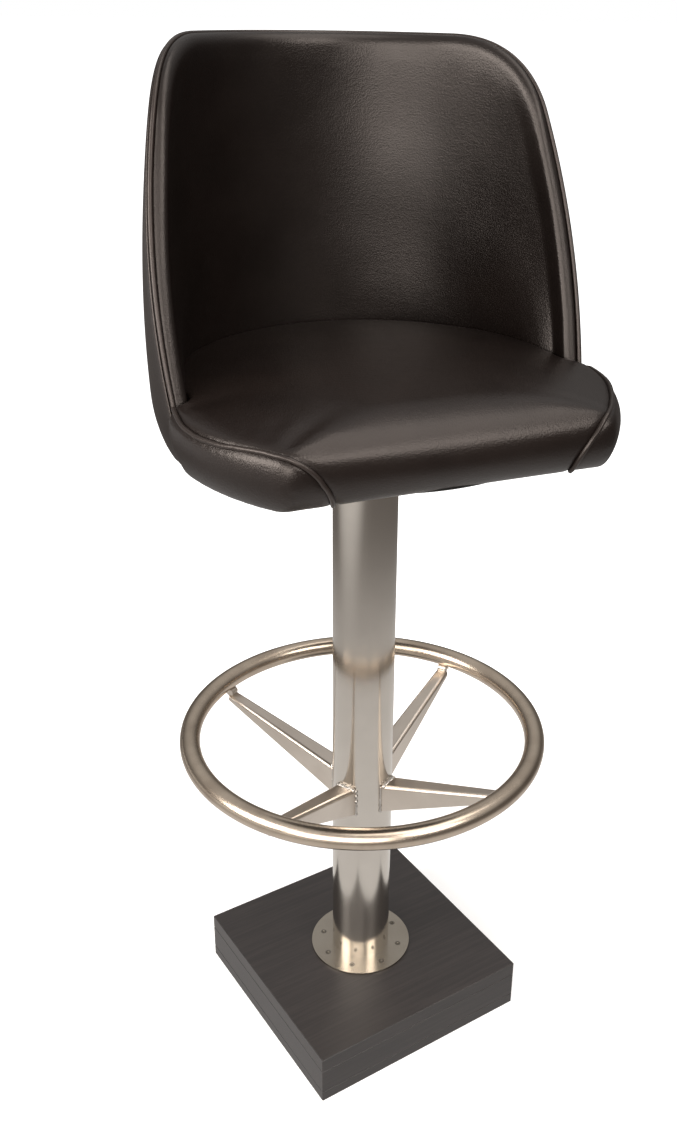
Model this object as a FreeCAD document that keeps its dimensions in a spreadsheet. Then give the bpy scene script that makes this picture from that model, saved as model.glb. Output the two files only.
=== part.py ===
import FreeCAD, Part
import math
import os
from types import SimpleNamespace

import Sketcher

# Bar stool: a square board base, a fixed steel column with a round foot ring on four
# folded arms, and an upholstered tub seat that swivels on a spindle in the column's head.
# Z is up, X and Y follow the sides of the base, and the origin is the middle of the
# underside of the base. The seat faces -Y, turned about the column by seat_turn.

Vector = FreeCAD.Vector
UP = Vector(0, 0, 1)

DRIVING_SIZES = {
    # base boards
    "base_side": 300.0,
    "top_board": 19.0,
    "middle_board": 34.0,
    "bottom_board": 15.0,
    "board_edge": 0.8,
    "board_screw_spread": 220.0,
    "board_screw_length": 56.0,
    # floor flange and its screws
    "flange_diameter": 133.0,
    "flange_thickness": 3.0,
    "flange_screw_circle": 104.0,
    "flange_screw_count": 8,
    "flange_screw_length": 19.0,
    "screw_shank": 4.0,
    "screw_head": 7.6,
    "drive_mouth": 3.0,
    "drive_point": 0.9,
    # column
    "column_diameter": 76.1,
    "column_wall": 2.0,
    "column_length": 723.0,
    # foot ring and its arms
    "ring_diameter": 430.0,
    "ring_tube": 25.0,
    "ring_wall": 1.5,
    "ring_height": 411.0,
    "arm_count": 4,
    "arm_turn": 25.0,
    "arm_sheet": 2.5,
    "arm_bend": 5.0,
    "arm_root_width": 27.5,
    "arm_tip_width": 16.5,
    "arm_root_top": 345.0,
    "arm_root_depth": 39.0,
    "arm_tip_depth": 8.0,
    "arm_tip_drop": 4.0,
    "arm_tip_inset": 7.0,
    "arm_root_inset": 5.0,
    "ring_weld": 10.0,
    "column_weld": 7.0,
    "weld_end": 2.5,
    # bearing in the head of the column
    "head_rim": 8.0,
    "head_length": 80.0,
    "head_bore": 28.0,
    "bush_diameter": 36.0,
    "bush_length": 22.0,
    "bush_flange": 46.0,
    "bush_flange_thickness": 3.0,
    "spindle_diameter": 25.0,
    "spindle_clearance": 0.05,
    "spindle_tail": 14.0,
    "hub_diameter": 60.0,
    "hub_height": 12.0,
    "thrust_washer": 3.0,
    "tail_washer": 2.0,
    "tail_washer_diameter": 40.0,
    "clip_thickness": 1.5,
    "clip_groove": 1.5,
    "clip_width": 4.5,
    # seat plate and its bolts
    "plate_side": 180.0,
    "plate_thickness": 5.0,
    "plate_corner": 12.0,
    "bolt_spread": 140.0,
    "bolt_diameter": 8.0,
    "bolt_head": 13.0,
    "bolt_head_height": 5.3,
    "bolt_length": 20.0,
    "tee_nut_flange": 22.0,
    "tee_nut_barrel": 10.0,
    "tee_nut_plate": 1.5,
    # seat board and dust cover
    "seat_turn": -10.5,
    "board_thickness": 18.0,
    "board_edge_cover": 10.0,
    "board_gap": 0.3,
    "dust_cover": 1.2,
    "dust_cover_margin": 6.0,
    # cushion: heights are above the underside of the seat board, insets are from its widest
    "cushion_forward": 51.0,
    "cushion_proud": 3.5,
    "cushion_half_depth": 262.0,
    "cushion_foot_inset": 16.0,
    "cushion_widest_height": 29.0,
    "cushion_seam_inset": 8.0,
    "cushion_seam_height": 61.0,
    "cushion_shoulder_inset": 48.0,
    "cushion_shoulder_height": 73.0,
    "cushion_height": 81.0,
    "cushion_front": 238.0,
    "cushion_front_tuck": 23.0,
    "cushion_front_roll": 44.0,
    "cushion_front_height": 76.0,
    "cushion_gap": 0.4,
    "piping_diameter": 5.0,
    "seam_corner_angle": 36.0,
    # tub back
    "tub_forward": 25.0,
    "tub_radius": 240.5,
    "tub_widest_height": 113.0,
    "tub_bow": 1400.0,
    "tub_curl": 150.0,
    "tub_curl_height": 48.0,
    "tub_bottom": 12.0,
    "back_height": 391.5,
    "back_cover": 6.0,
    "back_shell": 8.0,
    "back_wall": 24.0,
    "back_hem": 2.5,
    "rim_foot_forward": 84.0,
    "rim_lean": 18.3,
    "rim_corner": 105.0,
    "rim_padding": 12.0,
    "rim_inner_roll": 5.5,
    "rim_outer_roll": 5.5,
    "rim_piping_inset": 5.0,
    "shell_screw_count": 7,
    "shell_screw_length": 26.0,
    "shell_screw_sink": 1.5,
}


class Size:
    """A size of the sheet, or a sum of several, that carries its own formula."""

    def __init__(self, value, formula):
        self.value = float(value)
        self.formula = formula

    def __float__(self):
        return self.value

    def __add__(self, other):
        return Size(self.value + float(other), f"({self.formula} + {formula_of(other)})")

    def __radd__(self, other):
        return Size(float(other) + self.value, f"({formula_of(other)} + {self.formula})")

    def __sub__(self, other):
        return Size(self.value - float(other), f"({self.formula} - {formula_of(other)})")

    def __rsub__(self, other):
        return Size(float(other) - self.value, f"({formula_of(other)} - {self.formula})")

    def __mul__(self, other):
        return Size(self.value * float(other), f"({self.formula} * {formula_of(other)})")

    def __truediv__(self, other):
        return Size(self.value / float(other), f"({self.formula} / {formula_of(other)})")

    def __neg__(self):
        return Size(-self.value, f"(-{self.formula})")


def formula_of(term):
    return term.formula if isinstance(term, Size) else repr(float(term))


doc = FreeCAD.newDocument("BarStool")
sheet = doc.addObject("Spreadsheet::Sheet", "Sizes")
for row, (alias, number) in enumerate(DRIVING_SIZES.items(), start=1):
    sheet.set(f"A{row}", alias)
    sheet.set(f"B{row}", str(number))
    sheet.setAlias(f"B{row}", alias)
doc.recompute()
size = SimpleNamespace(**{name: Size(sheet.get(name), f"Sizes.{name}") for name in DRIVING_SIZES})

# Heights of the stack, from the floor to the seat board
base_top = size.bottom_board + size.middle_board + size.top_board
flange_top = base_top + size.flange_thickness
column_top = base_top + size.column_length
head_top = column_top + size.head_rim
bush_top = head_top + size.bush_flange_thickness
hub_bottom = bush_top + size.thrust_washer
plate_bottom = hub_bottom + size.hub_height
seat_bottom = plate_bottom + size.plate_thickness
board_top = seat_bottom + size.board_thickness
head_bottom = head_top - size.head_length
tail_washer_top = head_bottom - size.bush_flange_thickness
clip_top = tail_washer_top - size.tail_washer
clip_bottom = clip_top - size.clip_thickness
spindle_bottom = tail_washer_top - size.spindle_tail
spindle_hole = size.spindle_diameter + size.spindle_clearance * 2

# Widths of the cushion, which stands a little proud of the tub
cushion_half_width = size.tub_radius + size.cushion_proud
cushion_foot_radius = cushion_half_width - size.cushion_foot_inset
cushion_seam_radius = cushion_half_width - size.cushion_seam_inset
cushion_shoulder_radius = cushion_half_width - size.cushion_shoulder_inset

finished_parts = []


# Helpers for sketches and features

def finish_part(part, label, turn=0.0):
    """Gives a finished piece its name and its turn about the column."""
    part.Label = label
    part.Placement = FreeCAD.Placement(Vector(), FreeCAD.Rotation(UP, turn))
    finished_parts.append(part)
    return part


def new_sketch(body, role, name, lift=None):
    sketch = body.newObject("Sketcher::SketchObject", name)
    plane = next(item for item in body.Origin.OriginFeatures if item.Role == role)
    sketch.AttachmentSupport = [(plane, "")]
    sketch.MapMode = "FlatFace"
    if lift is not None:
        sketch.AttachmentOffset = FreeCAD.Placement(Vector(0, 0, float(lift)), FreeCAD.Rotation())
        sketch.setExpression("AttachmentOffset.Base.z", formula_of(lift))
    return sketch


def pin_point(sketch, geometry, end, place):
    """Holds one point of a sketch at two sizes from the sketch's origin."""
    for kind, term in zip(("DistanceX", "DistanceY"), place):
        index = sketch.addConstraint(Sketcher.Constraint(kind, -1, 1, geometry, end, float(term)))
        if isinstance(term, Size):
            sketch.setExpression(f"Constraints[{index}]", term.formula)


def draw_outline(sketch, corners):
    """A closed outline of straight lines with every corner pinned."""
    first = sketch.GeometryCount
    points = [Vector(float(across), float(along), 0) for across, along in corners]
    for start, end in zip(points, points[1:] + points[:1]):
        sketch.addGeometry(Part.LineSegment(start, end), False)
    for index, corner in enumerate(corners):
        follower = first + (index + 1) % len(corners)
        sketch.addConstraint(Sketcher.Constraint("Coincident", first + index, 2, follower, 1))
        pin_point(sketch, first + index, 1, corner)


def draw_circle(sketch, place, diameter):
    centre = Vector(float(place[0]), float(place[1]), 0)
    index = sketch.addGeometry(Part.Circle(centre, Vector(0, 0, 1), float(diameter) / 2), False)
    pin_point(sketch, index, 3, place)
    constraint = sketch.addConstraint(Sketcher.Constraint("Diameter", index, float(diameter)))
    if isinstance(diameter, Size):
        sketch.setExpression(f"Constraints[{constraint}]", diameter.formula)


def square_corners(side):
    half = side / 2
    return [(-half, -half), (half, -half), (half, half), (-half, half)]


def add_pad(body, sketch, length):
    pad = body.newObject("PartDesign::Pad", sketch.Name + "Pad")
    pad.Profile = sketch
    pad.setExpression("Length", formula_of(length))
    return pad


def cut_pocket(body, sketch, depth=None):
    """A pocket towards +Z from its sketch, through all of the piece when no depth is given."""
    pocket = body.newObject("PartDesign::Pocket", sketch.Name + "Pocket")
    pocket.Profile = sketch
    pocket.Reversed = True
    if depth is None:
        pocket.Type = "ThroughAll"
    else:
        pocket.setExpression("Length", formula_of(depth))
    return pocket


def repeat_round(body, feature, count):
    pattern = body.newObject("PartDesign::PolarPattern", feature.Name + "Round")
    pattern.Originals = [feature]
    pattern.Axis = (feature.Profile[0], ["N_Axis"])
    pattern.Angle = 360
    pattern.Occurrences = int(float(count))
    pattern.setExpression("Occurrences", formula_of(count))
    body.Tip = pattern
    return pattern


def turned_part(label, corners, turn=0.0):
    """A piece turned about the column's axis from an outline of radii and heights."""
    body = doc.addObject("PartDesign::Body", label)
    sketch = new_sketch(body, "XZ_Plane", label + "_outline")
    draw_outline(sketch, corners)
    revolution = body.newObject("PartDesign::Revolution", label + "_turned")
    revolution.Profile = sketch
    revolution.ReferenceAxis = (sketch, ["V_Axis"])
    revolution.Angle = 360
    return finish_part(body, label, turn)


def ring_corners(inner_diameter, outer_diameter, bottom, top):
    inner = inner_diameter / 2
    outer = outer_diameter / 2
    return [(inner, bottom), (outer, bottom), (outer, top), (inner, top)]


def arc_leaving(start, direction, end):
    """An arc that leaves its start along a direction and ends at a given point."""
    chord = end - start
    normal = (chord - direction * chord.dot(direction)).normalize()
    radius = chord.dot(chord) / (2 * chord.dot(normal))
    centre = start + normal * radius
    middle = centre + (start + end - centre * 2).normalize() * radius
    return Part.Arc(start, middle, end).toShape()


def direction_after(start, direction, end):
    """The direction in which such an arc arrives."""
    chord = (end - start).normalize()
    return chord * (2 * chord.dot(direction)) - direction


def shape_part(label, shape, turn=0.0):
    part = doc.addObject("Part::Feature", label)
    part.Shape = shape
    return finish_part(part, label, turn)


def around(radius, angle, height=0.0):
    """A point at an angle in degrees about the column's axis."""
    return Vector(radius * math.cos(math.radians(angle)), radius * math.sin(math.radians(angle)), height)


# Screws and bolts, as groups of equal pieces

def countersunk_screw(screw_length):
    """A wood screw that points down from the origin, with a drive recess in its head."""
    length = float(screw_length)
    shank = float(size.screw_shank)
    head = float(size.screw_head)
    cone_depth = (head - shank) / 2
    outline = [(0, 0), (head / 2, 0), (shank / 2, -cone_depth), (shank / 2, -length + shank), (0, -length)]
    wire = Part.makePolygon([Vector(x, 0, z) for x, z in outline] + [Vector(0, 0, 0)])
    screw = Part.Face(wire).revolve(Vector(), UP, 360)
    recess = Part.makeCone(float(size.drive_point) / 2, float(size.drive_mouth) / 2, cone_depth,
                           Vector(0, 0, -cone_depth))
    return screw.cut(recess)


def placed_copies(shape, placements):
    copies = []
    for placement in placements:
        copy = shape.copy()
        copy.Placement = placement.multiply(copy.Placement)
        copies.append(copy)
    return Part.makeCompound(copies)


def square_spots(spread, height, direction=UP):
    half = float(spread) / 2
    turn = FreeCAD.Rotation(UP, direction)
    spots = [(-half, -half), (half, -half), (half, half), (-half, half)]
    return [FreeCAD.Placement(Vector(x, y, float(height)), turn) for x, y in spots]


# Base

def add_board(label, bottom, thickness):
    """A square board with its sharp edges eased."""
    body = doc.addObject("PartDesign::Body", label)
    sketch = new_sketch(body, "XY_Plane", label + "_outline", bottom)
    draw_outline(sketch, square_corners(size.base_side))
    pad = add_pad(body, sketch, thickness)
    doc.recompute()
    chamfer = body.newObject("PartDesign::Chamfer", label + "_edges")
    chamfer.Base = (pad, [f"Edge{index + 1}" for index in range(len(pad.Shape.Edges))])
    chamfer.setExpression("Size", size.board_edge.formula)
    body.Tip = chamfer
    return body


def drill_board_corners(body, bottom, depth=None):
    sketch = new_sketch(body, "XY_Plane", body.Name + "_screw_holes", bottom)
    half = size.board_screw_spread / 2
    for across, along in ((-half, -half), (half, -half), (half, half), (-half, half)):
        draw_circle(sketch, (across, along), size.screw_shank)
    return cut_pocket(body, sketch, depth)


screw_sink = (size.screw_head - size.screw_shank) / 2
top_board_bottom = size.bottom_board + size.middle_board
board_screw_reach = size.board_screw_length - top_board_bottom

bottom_board = add_board("base_bottom_board", Size(0, "0"), size.bottom_board)
drill_board_corners(bottom_board, Size(0, "0"))
for corner_index, (sign_x, sign_y) in enumerate(((-1, -1), (1, -1), (1, 1), (-1, 1))):
    sink = bottom_board.newObject("PartDesign::SubtractiveCone", f"sink_{corner_index}")
    sink.setExpression("Radius1", (size.screw_head / 2).formula)
    sink.setExpression("Radius2", (size.screw_shank / 2).formula)
    sink.setExpression("Height", screw_sink.formula)
    half_spread = size.board_screw_spread / 2
    sink.setExpression("AttachmentOffset.Base.x", (half_spread * sign_x).formula)
    sink.setExpression("AttachmentOffset.Base.y", (half_spread * sign_y).formula)
    plane = next(item for item in bottom_board.Origin.OriginFeatures if item.Role == "XY_Plane")
    sink.AttachmentSupport = [(plane, "")]
    sink.MapMode = "FlatFace"
finish_part(bottom_board, "base_bottom_board")

middle_board = add_board("base_middle_board", size.bottom_board, size.middle_board)
drill_board_corners(middle_board, size.bottom_board)
finish_part(middle_board, "base_middle_board")

top_board = add_board("base_top_board", top_board_bottom, size.top_board)
drill_board_corners(top_board, top_board_bottom, board_screw_reach)
pilot_bottom = base_top + size.flange_thickness - size.flange_screw_length
pilot = new_sketch(top_board, "XY_Plane", "pilot_hole", pilot_bottom)
draw_circle(pilot, (size.flange_screw_circle / 2, 0), size.screw_shank)
repeat_round(top_board, cut_pocket(top_board, pilot), size.flange_screw_count)
finish_part(top_board, "base_top_board")

shape_part("base_board_screws", placed_copies(countersunk_screw(size.board_screw_length),
                                              square_spots(size.board_screw_spread, 0, -UP)))

# Flange, column and their screws

flange = doc.addObject("PartDesign::Body", "floor_flange")
flange_sketch = new_sketch(flange, "XY_Plane", "flange_outline", base_top)
draw_circle(flange_sketch, (0, 0), size.flange_diameter)
draw_circle(flange_sketch, (0, 0), size.column_diameter)
add_pad(flange, flange_sketch, size.flange_thickness)
doc.recompute()
hole_sketch = new_sketch(flange, "XY_Plane", "flange_hole", flange_top)
draw_circle(hole_sketch, (size.flange_screw_circle / 2, 0), size.screw_shank)
doc.recompute()
flange_hole = flange.newObject("PartDesign::Hole", "flange_countersink")
flange_hole.Profile = hole_sketch
flange_hole.DepthType = "ThroughAll"
flange_hole.HoleCutType = "Countersink"
flange_hole.setExpression("Diameter", size.screw_shank.formula)
flange_hole.setExpression("HoleCutDiameter", size.screw_head.formula)
flange_hole.HoleCutCountersinkAngle = 90
repeat_round(flange, flange_hole, size.flange_screw_count)
finish_part(flange, "floor_flange")

screw_reach = float(size.flange_screw_circle) / 2
screw_pitch = 360 / float(size.flange_screw_count)
flange_spots = [
    FreeCAD.Placement(around(screw_reach, screw_pitch * index, float(flange_top)), FreeCAD.Rotation())
    for index in range(int(float(size.flange_screw_count)))
]
shape_part("flange_screws", placed_copies(countersunk_screw(size.flange_screw_length), flange_spots))

column_bore = size.column_diameter - size.column_wall * 2
column = doc.addObject("PartDesign::Body", "column_tube")
column_sketch = new_sketch(column, "XY_Plane", "column_section", base_top)
draw_circle(column_sketch, (0, 0), size.column_diameter)
draw_circle(column_sketch, (0, 0), column_bore)
add_pad(column, column_sketch, size.column_length)
finish_part(column, "column_tube")

# Foot ring and arms

ring = doc.addObject("PartDesign::Body", "foot_ring")
ring_sketch = new_sketch(ring, "XZ_Plane", "ring_section")
for diameter in (size.ring_tube, size.ring_tube - size.ring_wall * 2):
    draw_circle(ring_sketch, (size.ring_diameter / 2, size.ring_height), diameter)
ring_turned = ring.newObject("PartDesign::Revolution", "ring_turned")
ring_turned.Profile = ring_sketch
ring_turned.ReferenceAxis = (ring_sketch, ["V_Axis"])
ring_turned.Angle = 360
finish_part(ring, "foot_ring")

ring_underside = size.ring_height - size.ring_tube / 2
arm_tip_reach = size.ring_diameter / 2 - size.arm_tip_inset
arm_tip_top = ring_underside - size.arm_tip_drop


def channel_section(along, width, top, depth):
    """An inverted U of folded sheet with round bends, square to the arm."""
    sheet_metal = float(size.arm_sheet)
    bend = float(size.arm_bend)
    half = width / 2
    foot = top - depth

    def side(sign):
        """One half of the section, from the foot of the web to the middle of the roof and back."""
        edges = []
        for inset in (0, sheet_metal):
            edge = half - inset
            roof = top - inset
            radius = bend - inset
            corner = Vector(along, sign * (edge - radius), roof - radius)
            outer = corner + Vector(0, sign * radius, 0)
            upper = corner + Vector(0, 0, radius)
            middle = corner + Vector(0, sign * radius, radius) * math.sqrt(0.5)
            edges.append(Part.makeLine(Vector(along, sign * edge, foot), outer))
            edges.append(Part.Arc(outer, middle, upper).toShape())
            edges.append(Part.makeLine(upper, Vector(along, 0, roof)))
        edges.append(Part.makeLine(Vector(along, sign * half, foot),
                                   Vector(along, sign * (half - sheet_metal), foot)))
        return edges

    return Part.Wire(Part.__sortEdges__(side(1) + side(-1)))


arm_blank = doc.addObject("Part::Feature", "arm_blank")
arm_blank.Shape = Part.makeLoft([
    channel_section(float(size.column_diameter / 2 - size.arm_root_inset), float(size.arm_root_width),
                    float(size.arm_root_top), float(size.arm_root_depth)),
    channel_section(float(arm_tip_reach), float(size.arm_tip_width), float(arm_tip_top),
                    float(size.arm_tip_depth)),
], True, True)


def weld_bead(name, reach, height, thickness, length):
    """A round bead of weld that lies across the arm."""
    bead = doc.addObject("Part::Cylinder", name)
    bead.setExpression("Radius", (thickness / 2).formula)
    bead.setExpression("Height", length.formula)
    bead.Placement = FreeCAD.Placement(Vector(), FreeCAD.Rotation(Vector(1, 0, 0), 90))
    for axis, term in (("x", reach), ("y", length / 2), ("z", height)):
        bead.setExpression("Placement.Base." + axis, term.formula)
    return bead


arm_welded = doc.addObject("Part::MultiFuse", "arm_welded")
arm_welded.Shapes = [
    arm_blank,
    weld_bead("ring_weld", arm_tip_reach, ring_underside - size.arm_tip_drop / 2, size.ring_weld,
              size.arm_tip_width - size.weld_end * 2),
    weld_bead("column_weld", size.column_diameter / 2, size.arm_root_top, size.column_weld,
              size.arm_root_width - size.weld_end * 2),
]
column_cutter = doc.addObject("Part::Cylinder", "column_cutter")
column_cutter.setExpression("Radius", (size.column_diameter / 2).formula)
column_cutter.setExpression("Height", column_top.formula)
ring_cutter = doc.addObject("Part::Torus", "ring_cutter")
ring_cutter.setExpression("Radius1", (size.ring_diameter / 2).formula)
ring_cutter.setExpression("Radius2", (size.ring_tube / 2).formula)
ring_cutter.setExpression("Placement.Base.z", size.ring_height.formula)
arm_coped = doc.addObject("Part::Cut", "arm_coped")
arm_coped.Base = arm_welded
arm_coped.Tool = column_cutter

for index, side in enumerate(("right_rear", "left_rear", "left_front", "right_front")):
    arm = doc.addObject("Part::Cut", "footrest_arm_" + side)
    arm.Base = arm_coped
    arm.Tool = ring_cutter
    finish_part(arm, "footrest_arm_" + side, float(size.arm_turn) + 360 * index / float(size.arm_count))

# Bearing head, bushes, spindle

plug_radius = column_bore / 2
bush_seat = size.bush_diameter / 2
bore = size.head_bore / 2
upper_bush_bottom = head_top - size.bush_length
lower_bush_top = head_bottom + size.bush_length
turned_part("column_head", [
    (bore, lower_bush_top), (bush_seat, lower_bush_top), (bush_seat, head_bottom),
    (plug_radius, head_bottom), (plug_radius, column_top), (size.column_diameter / 2, column_top),
    (size.column_diameter / 2, head_top), (bush_seat, head_top),
    (bush_seat, upper_bush_bottom), (bore, upper_bush_bottom)])
sleeve = spindle_hole / 2
turned_part("upper_bush", [
    (sleeve, upper_bush_bottom), (bush_seat, upper_bush_bottom), (bush_seat, head_top),
    (size.bush_flange / 2, head_top), (size.bush_flange / 2, bush_top), (sleeve, bush_top)])
turned_part("lower_bush", [
    (sleeve, tail_washer_top), (size.bush_flange / 2, tail_washer_top), (size.bush_flange / 2, head_bottom),
    (bush_seat, head_bottom), (bush_seat, lower_bush_top), (sleeve, lower_bush_top)])
turned_part("thrust_washer", ring_corners(spindle_hole, size.hub_diameter, bush_top, hub_bottom))

seat_turn = float(size.seat_turn)
shaft = size.spindle_diameter / 2
groove = shaft - size.clip_groove
turned_part("swivel_spindle", [
    (0, spindle_bottom), (shaft, spindle_bottom), (shaft, clip_bottom), (groove, clip_bottom),
    (groove, clip_top), (shaft, clip_top), (shaft, hub_bottom), (size.hub_diameter / 2, hub_bottom),
    (size.hub_diameter / 2, plate_bottom), (0, plate_bottom)], seat_turn)
turned_part("spindle_washer", ring_corners(size.spindle_diameter, size.tail_washer_diameter, clip_top,
                                           tail_washer_top), seat_turn)


def add_retaining_clip():
    """An open spring ring in the groove at the foot of the spindle."""
    inner = float(groove)
    outer = inner + float(size.clip_width)
    thickness = float(size.clip_thickness)
    floor = Vector(0, 0, float(clip_bottom))
    clip = Part.makeCylinder(outer, thickness, floor).cut(Part.makeCylinder(inner, thickness, floor))
    gap = Part.makeBox(outer * 2, inner, thickness, floor - Vector(0, inner / 2, 0))
    shape_part("retaining_clip", clip.cut(gap), seat_turn)


add_retaining_clip()

# Seat plate, board and their fasteners

seat_plate = doc.addObject("PartDesign::Body", "seat_plate")
plate_sketch = new_sketch(seat_plate, "XY_Plane", "plate_outline", plate_bottom)
draw_outline(plate_sketch, square_corners(size.plate_side))
plate_pad = add_pad(seat_plate, plate_sketch, size.plate_thickness)
doc.recompute()
upright = [
    f"Edge{index + 1}" for index, edge in enumerate(plate_pad.Shape.Edges)
    if abs(edge.Vertexes[0].Z - edge.Vertexes[1].Z) > float(size.plate_thickness) / 2
]
plate_round = seat_plate.newObject("PartDesign::Fillet", "plate_corners")
plate_round.Base = (plate_pad, upright)
plate_round.setExpression("Radius", size.plate_corner.formula)
plate_holes = new_sketch(seat_plate, "XY_Plane", "plate_holes", plate_bottom)
half_bolts = size.bolt_spread / 2
for across, along in ((-half_bolts, -half_bolts), (half_bolts, -half_bolts),
                      (half_bolts, half_bolts), (-half_bolts, half_bolts)):
    draw_circle(plate_holes, (across, along), size.bolt_diameter)
cut_pocket(seat_plate, plate_holes)
finish_part(seat_plate, "seat_plate", seat_turn)


def hexagon_bolt():
    """A bolt that points up, with its head below the origin."""
    head_height = float(size.bolt_head_height)
    corner = float(size.bolt_head) / math.sqrt(3)
    points = [around(corner, 60 * index, -head_height) for index in range(6)]
    head = Part.Face(Part.makePolygon(points + points[:1])).extrude(Vector(0, 0, head_height))
    shank = Part.makeCylinder(float(size.bolt_diameter) / 2, float(size.bolt_length))
    return head.fuse(shank).removeSplitter()


def tee_nut():
    """A threaded barrel with a round flange, bored for the bolt, flange up at the origin."""
    plate = float(size.tee_nut_plate)
    length = float(size.board_thickness) - plate
    foot = Vector(0, 0, -length)
    nut = Part.makeCylinder(float(size.tee_nut_barrel) / 2, length, foot)
    flange_plate = Part.makeCylinder(float(size.tee_nut_flange) / 2, plate, Vector(0, 0, -plate))
    bolt_hole = Part.makeCylinder(float(size.bolt_diameter) / 2, length, foot)
    return nut.fuse(flange_plate).cut(bolt_hole).removeSplitter()


bolts = placed_copies(hexagon_bolt(), square_spots(size.bolt_spread, plate_bottom))
shape_part("seat_bolts", bolts, seat_turn)
shape_part("tee_nuts", placed_copies(tee_nut(), square_spots(size.bolt_spread, board_top)), seat_turn)


# Tub back: the wall is turned about the tub's axis and cut by the rim seen from the side

tub_centre = -float(size.tub_forward)
seat_floor = float(seat_bottom)
rim_top = seat_floor + float(size.back_height)
tub_floor = seat_floor - float(size.tub_bottom)
curl_top = seat_floor + float(size.tub_curl_height)

# Cutting shapes reach past the tub by a fifth of its radius, and past a face by a millimetre
past_tub = float(size.tub_radius) / 5
past_face = 1.0
rim_tolerance = 0.5
rim_rounds = 40


def tub_side(inset):
    """The bowed side of the tub and the curl at its foot: centres and radii, inset from the outer face."""
    bow = float(size.tub_bow) - inset
    bow_height = seat_floor + float(size.tub_widest_height)
    bow_centre = Vector(float(size.tub_radius - size.tub_bow), 0, bow_height)
    rise = curl_top - bow_centre.z
    seam = bow_centre + Vector(math.sqrt(bow ** 2 - rise ** 2), 0, rise)
    curl = max(float(size.tub_curl) - inset, 1.0)
    curl_centre = seam + (bow_centre - seam).normalize() * curl
    return bow_centre, bow, curl_centre, curl


def tub_radius_at(height, inset):
    """Radius of the tub's side about its own axis at a height."""
    bow_centre, bow, curl_centre, curl = tub_side(inset)
    centre, radius = (bow_centre, bow) if height >= curl_top else (curl_centre, curl)
    return centre.x + math.sqrt(radius ** 2 - (height - centre.z) ** 2)


def wall_profile(inset, bottom, top):
    """The tub's side between two heights, as arcs through radii and heights."""
    stretches = [(top, max(bottom, curl_top)), (min(top, curl_top), bottom)]
    edges = []
    for high, low in stretches:
        if high > low:
            heights = (high, (high + low) / 2, low)
            edges.append(Part.Arc(*[Vector(tub_radius_at(z, inset), 0, z) for z in heights]).toShape())
    return edges


def turned_wall(outer_inset, inner_inset, bottom, top):
    """A wall between two insets from the tub's outer face, turned full round."""
    outer = wall_profile(outer_inset, bottom, top)
    inner = wall_profile(inner_inset, bottom, top)
    top_edge = Part.makeLine(outer[0].Vertexes[0].Point, inner[0].Vertexes[0].Point)
    bottom_edge = Part.makeLine(outer[-1].Vertexes[-1].Point, inner[-1].Vertexes[-1].Point)
    wire = Part.Wire(Part.__sortEdges__(outer + inner + [top_edge, bottom_edge]))
    wall = Part.Face(wire).revolve(Vector(), UP, 360)
    wall.translate(Vector(0, tub_centre, 0))
    return wall


def rim_points(setback):
    """Foot, start and end of the corner arc of the rim, seen from the side, set back by a distance."""
    lean = math.radians(float(size.rim_lean))
    corner = float(size.rim_corner) - setback
    top = rim_top - setback
    foot_y = -float(size.rim_foot_forward) + setback / math.cos(lean)
    arc_start_z = top - corner * (1 - math.sin(lean))
    arc_start_y = foot_y + (arc_start_z - seat_floor) * math.tan(lean)
    arc_end_y = arc_start_y + corner * math.cos(lean)
    return foot_y, arc_start_y, arc_start_z, arc_end_y, top, corner


def behind_rim(setback):
    """Everything behind the rim line, as a block across the seat."""
    foot_y, start_y, start_z, end_y, top, corner = rim_points(setback)
    reach = float(size.tub_radius) + past_tub
    lean = math.radians(float(size.rim_lean))
    low = tub_floor - float(size.tub_bottom)
    low_y = foot_y - (seat_floor - low) * math.tan(lean)
    half_turn = (math.pi / 2 - lean) / 2
    middle = Vector(-reach, end_y - corner * math.sin(half_turn), top - corner * (1 - math.cos(half_turn)))
    start = Vector(-reach, start_y, start_z)
    end = Vector(-reach, end_y, top)
    edges = [
        Part.makeLine(Vector(-reach, low_y, low), start),
        Part.Arc(start, middle, end).toShape(),
        Part.makeLine(end, Vector(-reach, reach, top)),
        Part.makeLine(Vector(-reach, reach, top), Vector(-reach, reach, low)),
        Part.makeLine(Vector(-reach, reach, low), Vector(-reach, low_y, low)),
    ]
    return Part.Face(Part.Wire(edges)).extrude(Vector(reach * 2, 0, 0))


def rim_height_at(depth):
    """The height of the rim line at a depth y."""
    foot_y, start_y, start_z, end_y, top, corner = rim_points(0)
    if depth >= end_y:
        return top
    if depth <= start_y:
        return seat_floor + (depth - foot_y) / math.tan(math.radians(float(size.rim_lean)))
    return top - corner + math.sqrt(corner ** 2 - (end_y - depth) ** 2)


def round_tube(stations, diameter):
    """A tube through round sections set square to a line of points, without twist."""
    wires = []
    side = (stations[1] - stations[0]).cross(UP)
    for index, point in enumerate(stations):
        before = stations[max(index - 1, 0)]
        after = stations[min(index + 1, len(stations) - 1)]
        along = (after - before).normalize()
        side = (side - along * side.dot(along)).normalize()
        circle = Part.Wire(Part.makeCircle(diameter / 2))
        circle.Placement = FreeCAD.Placement(point, FreeCAD.Rotation(side, along.cross(side), along, "ZXY"))
        wires.append(circle)
    return Part.makeLoft(wires, True, True)


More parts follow.
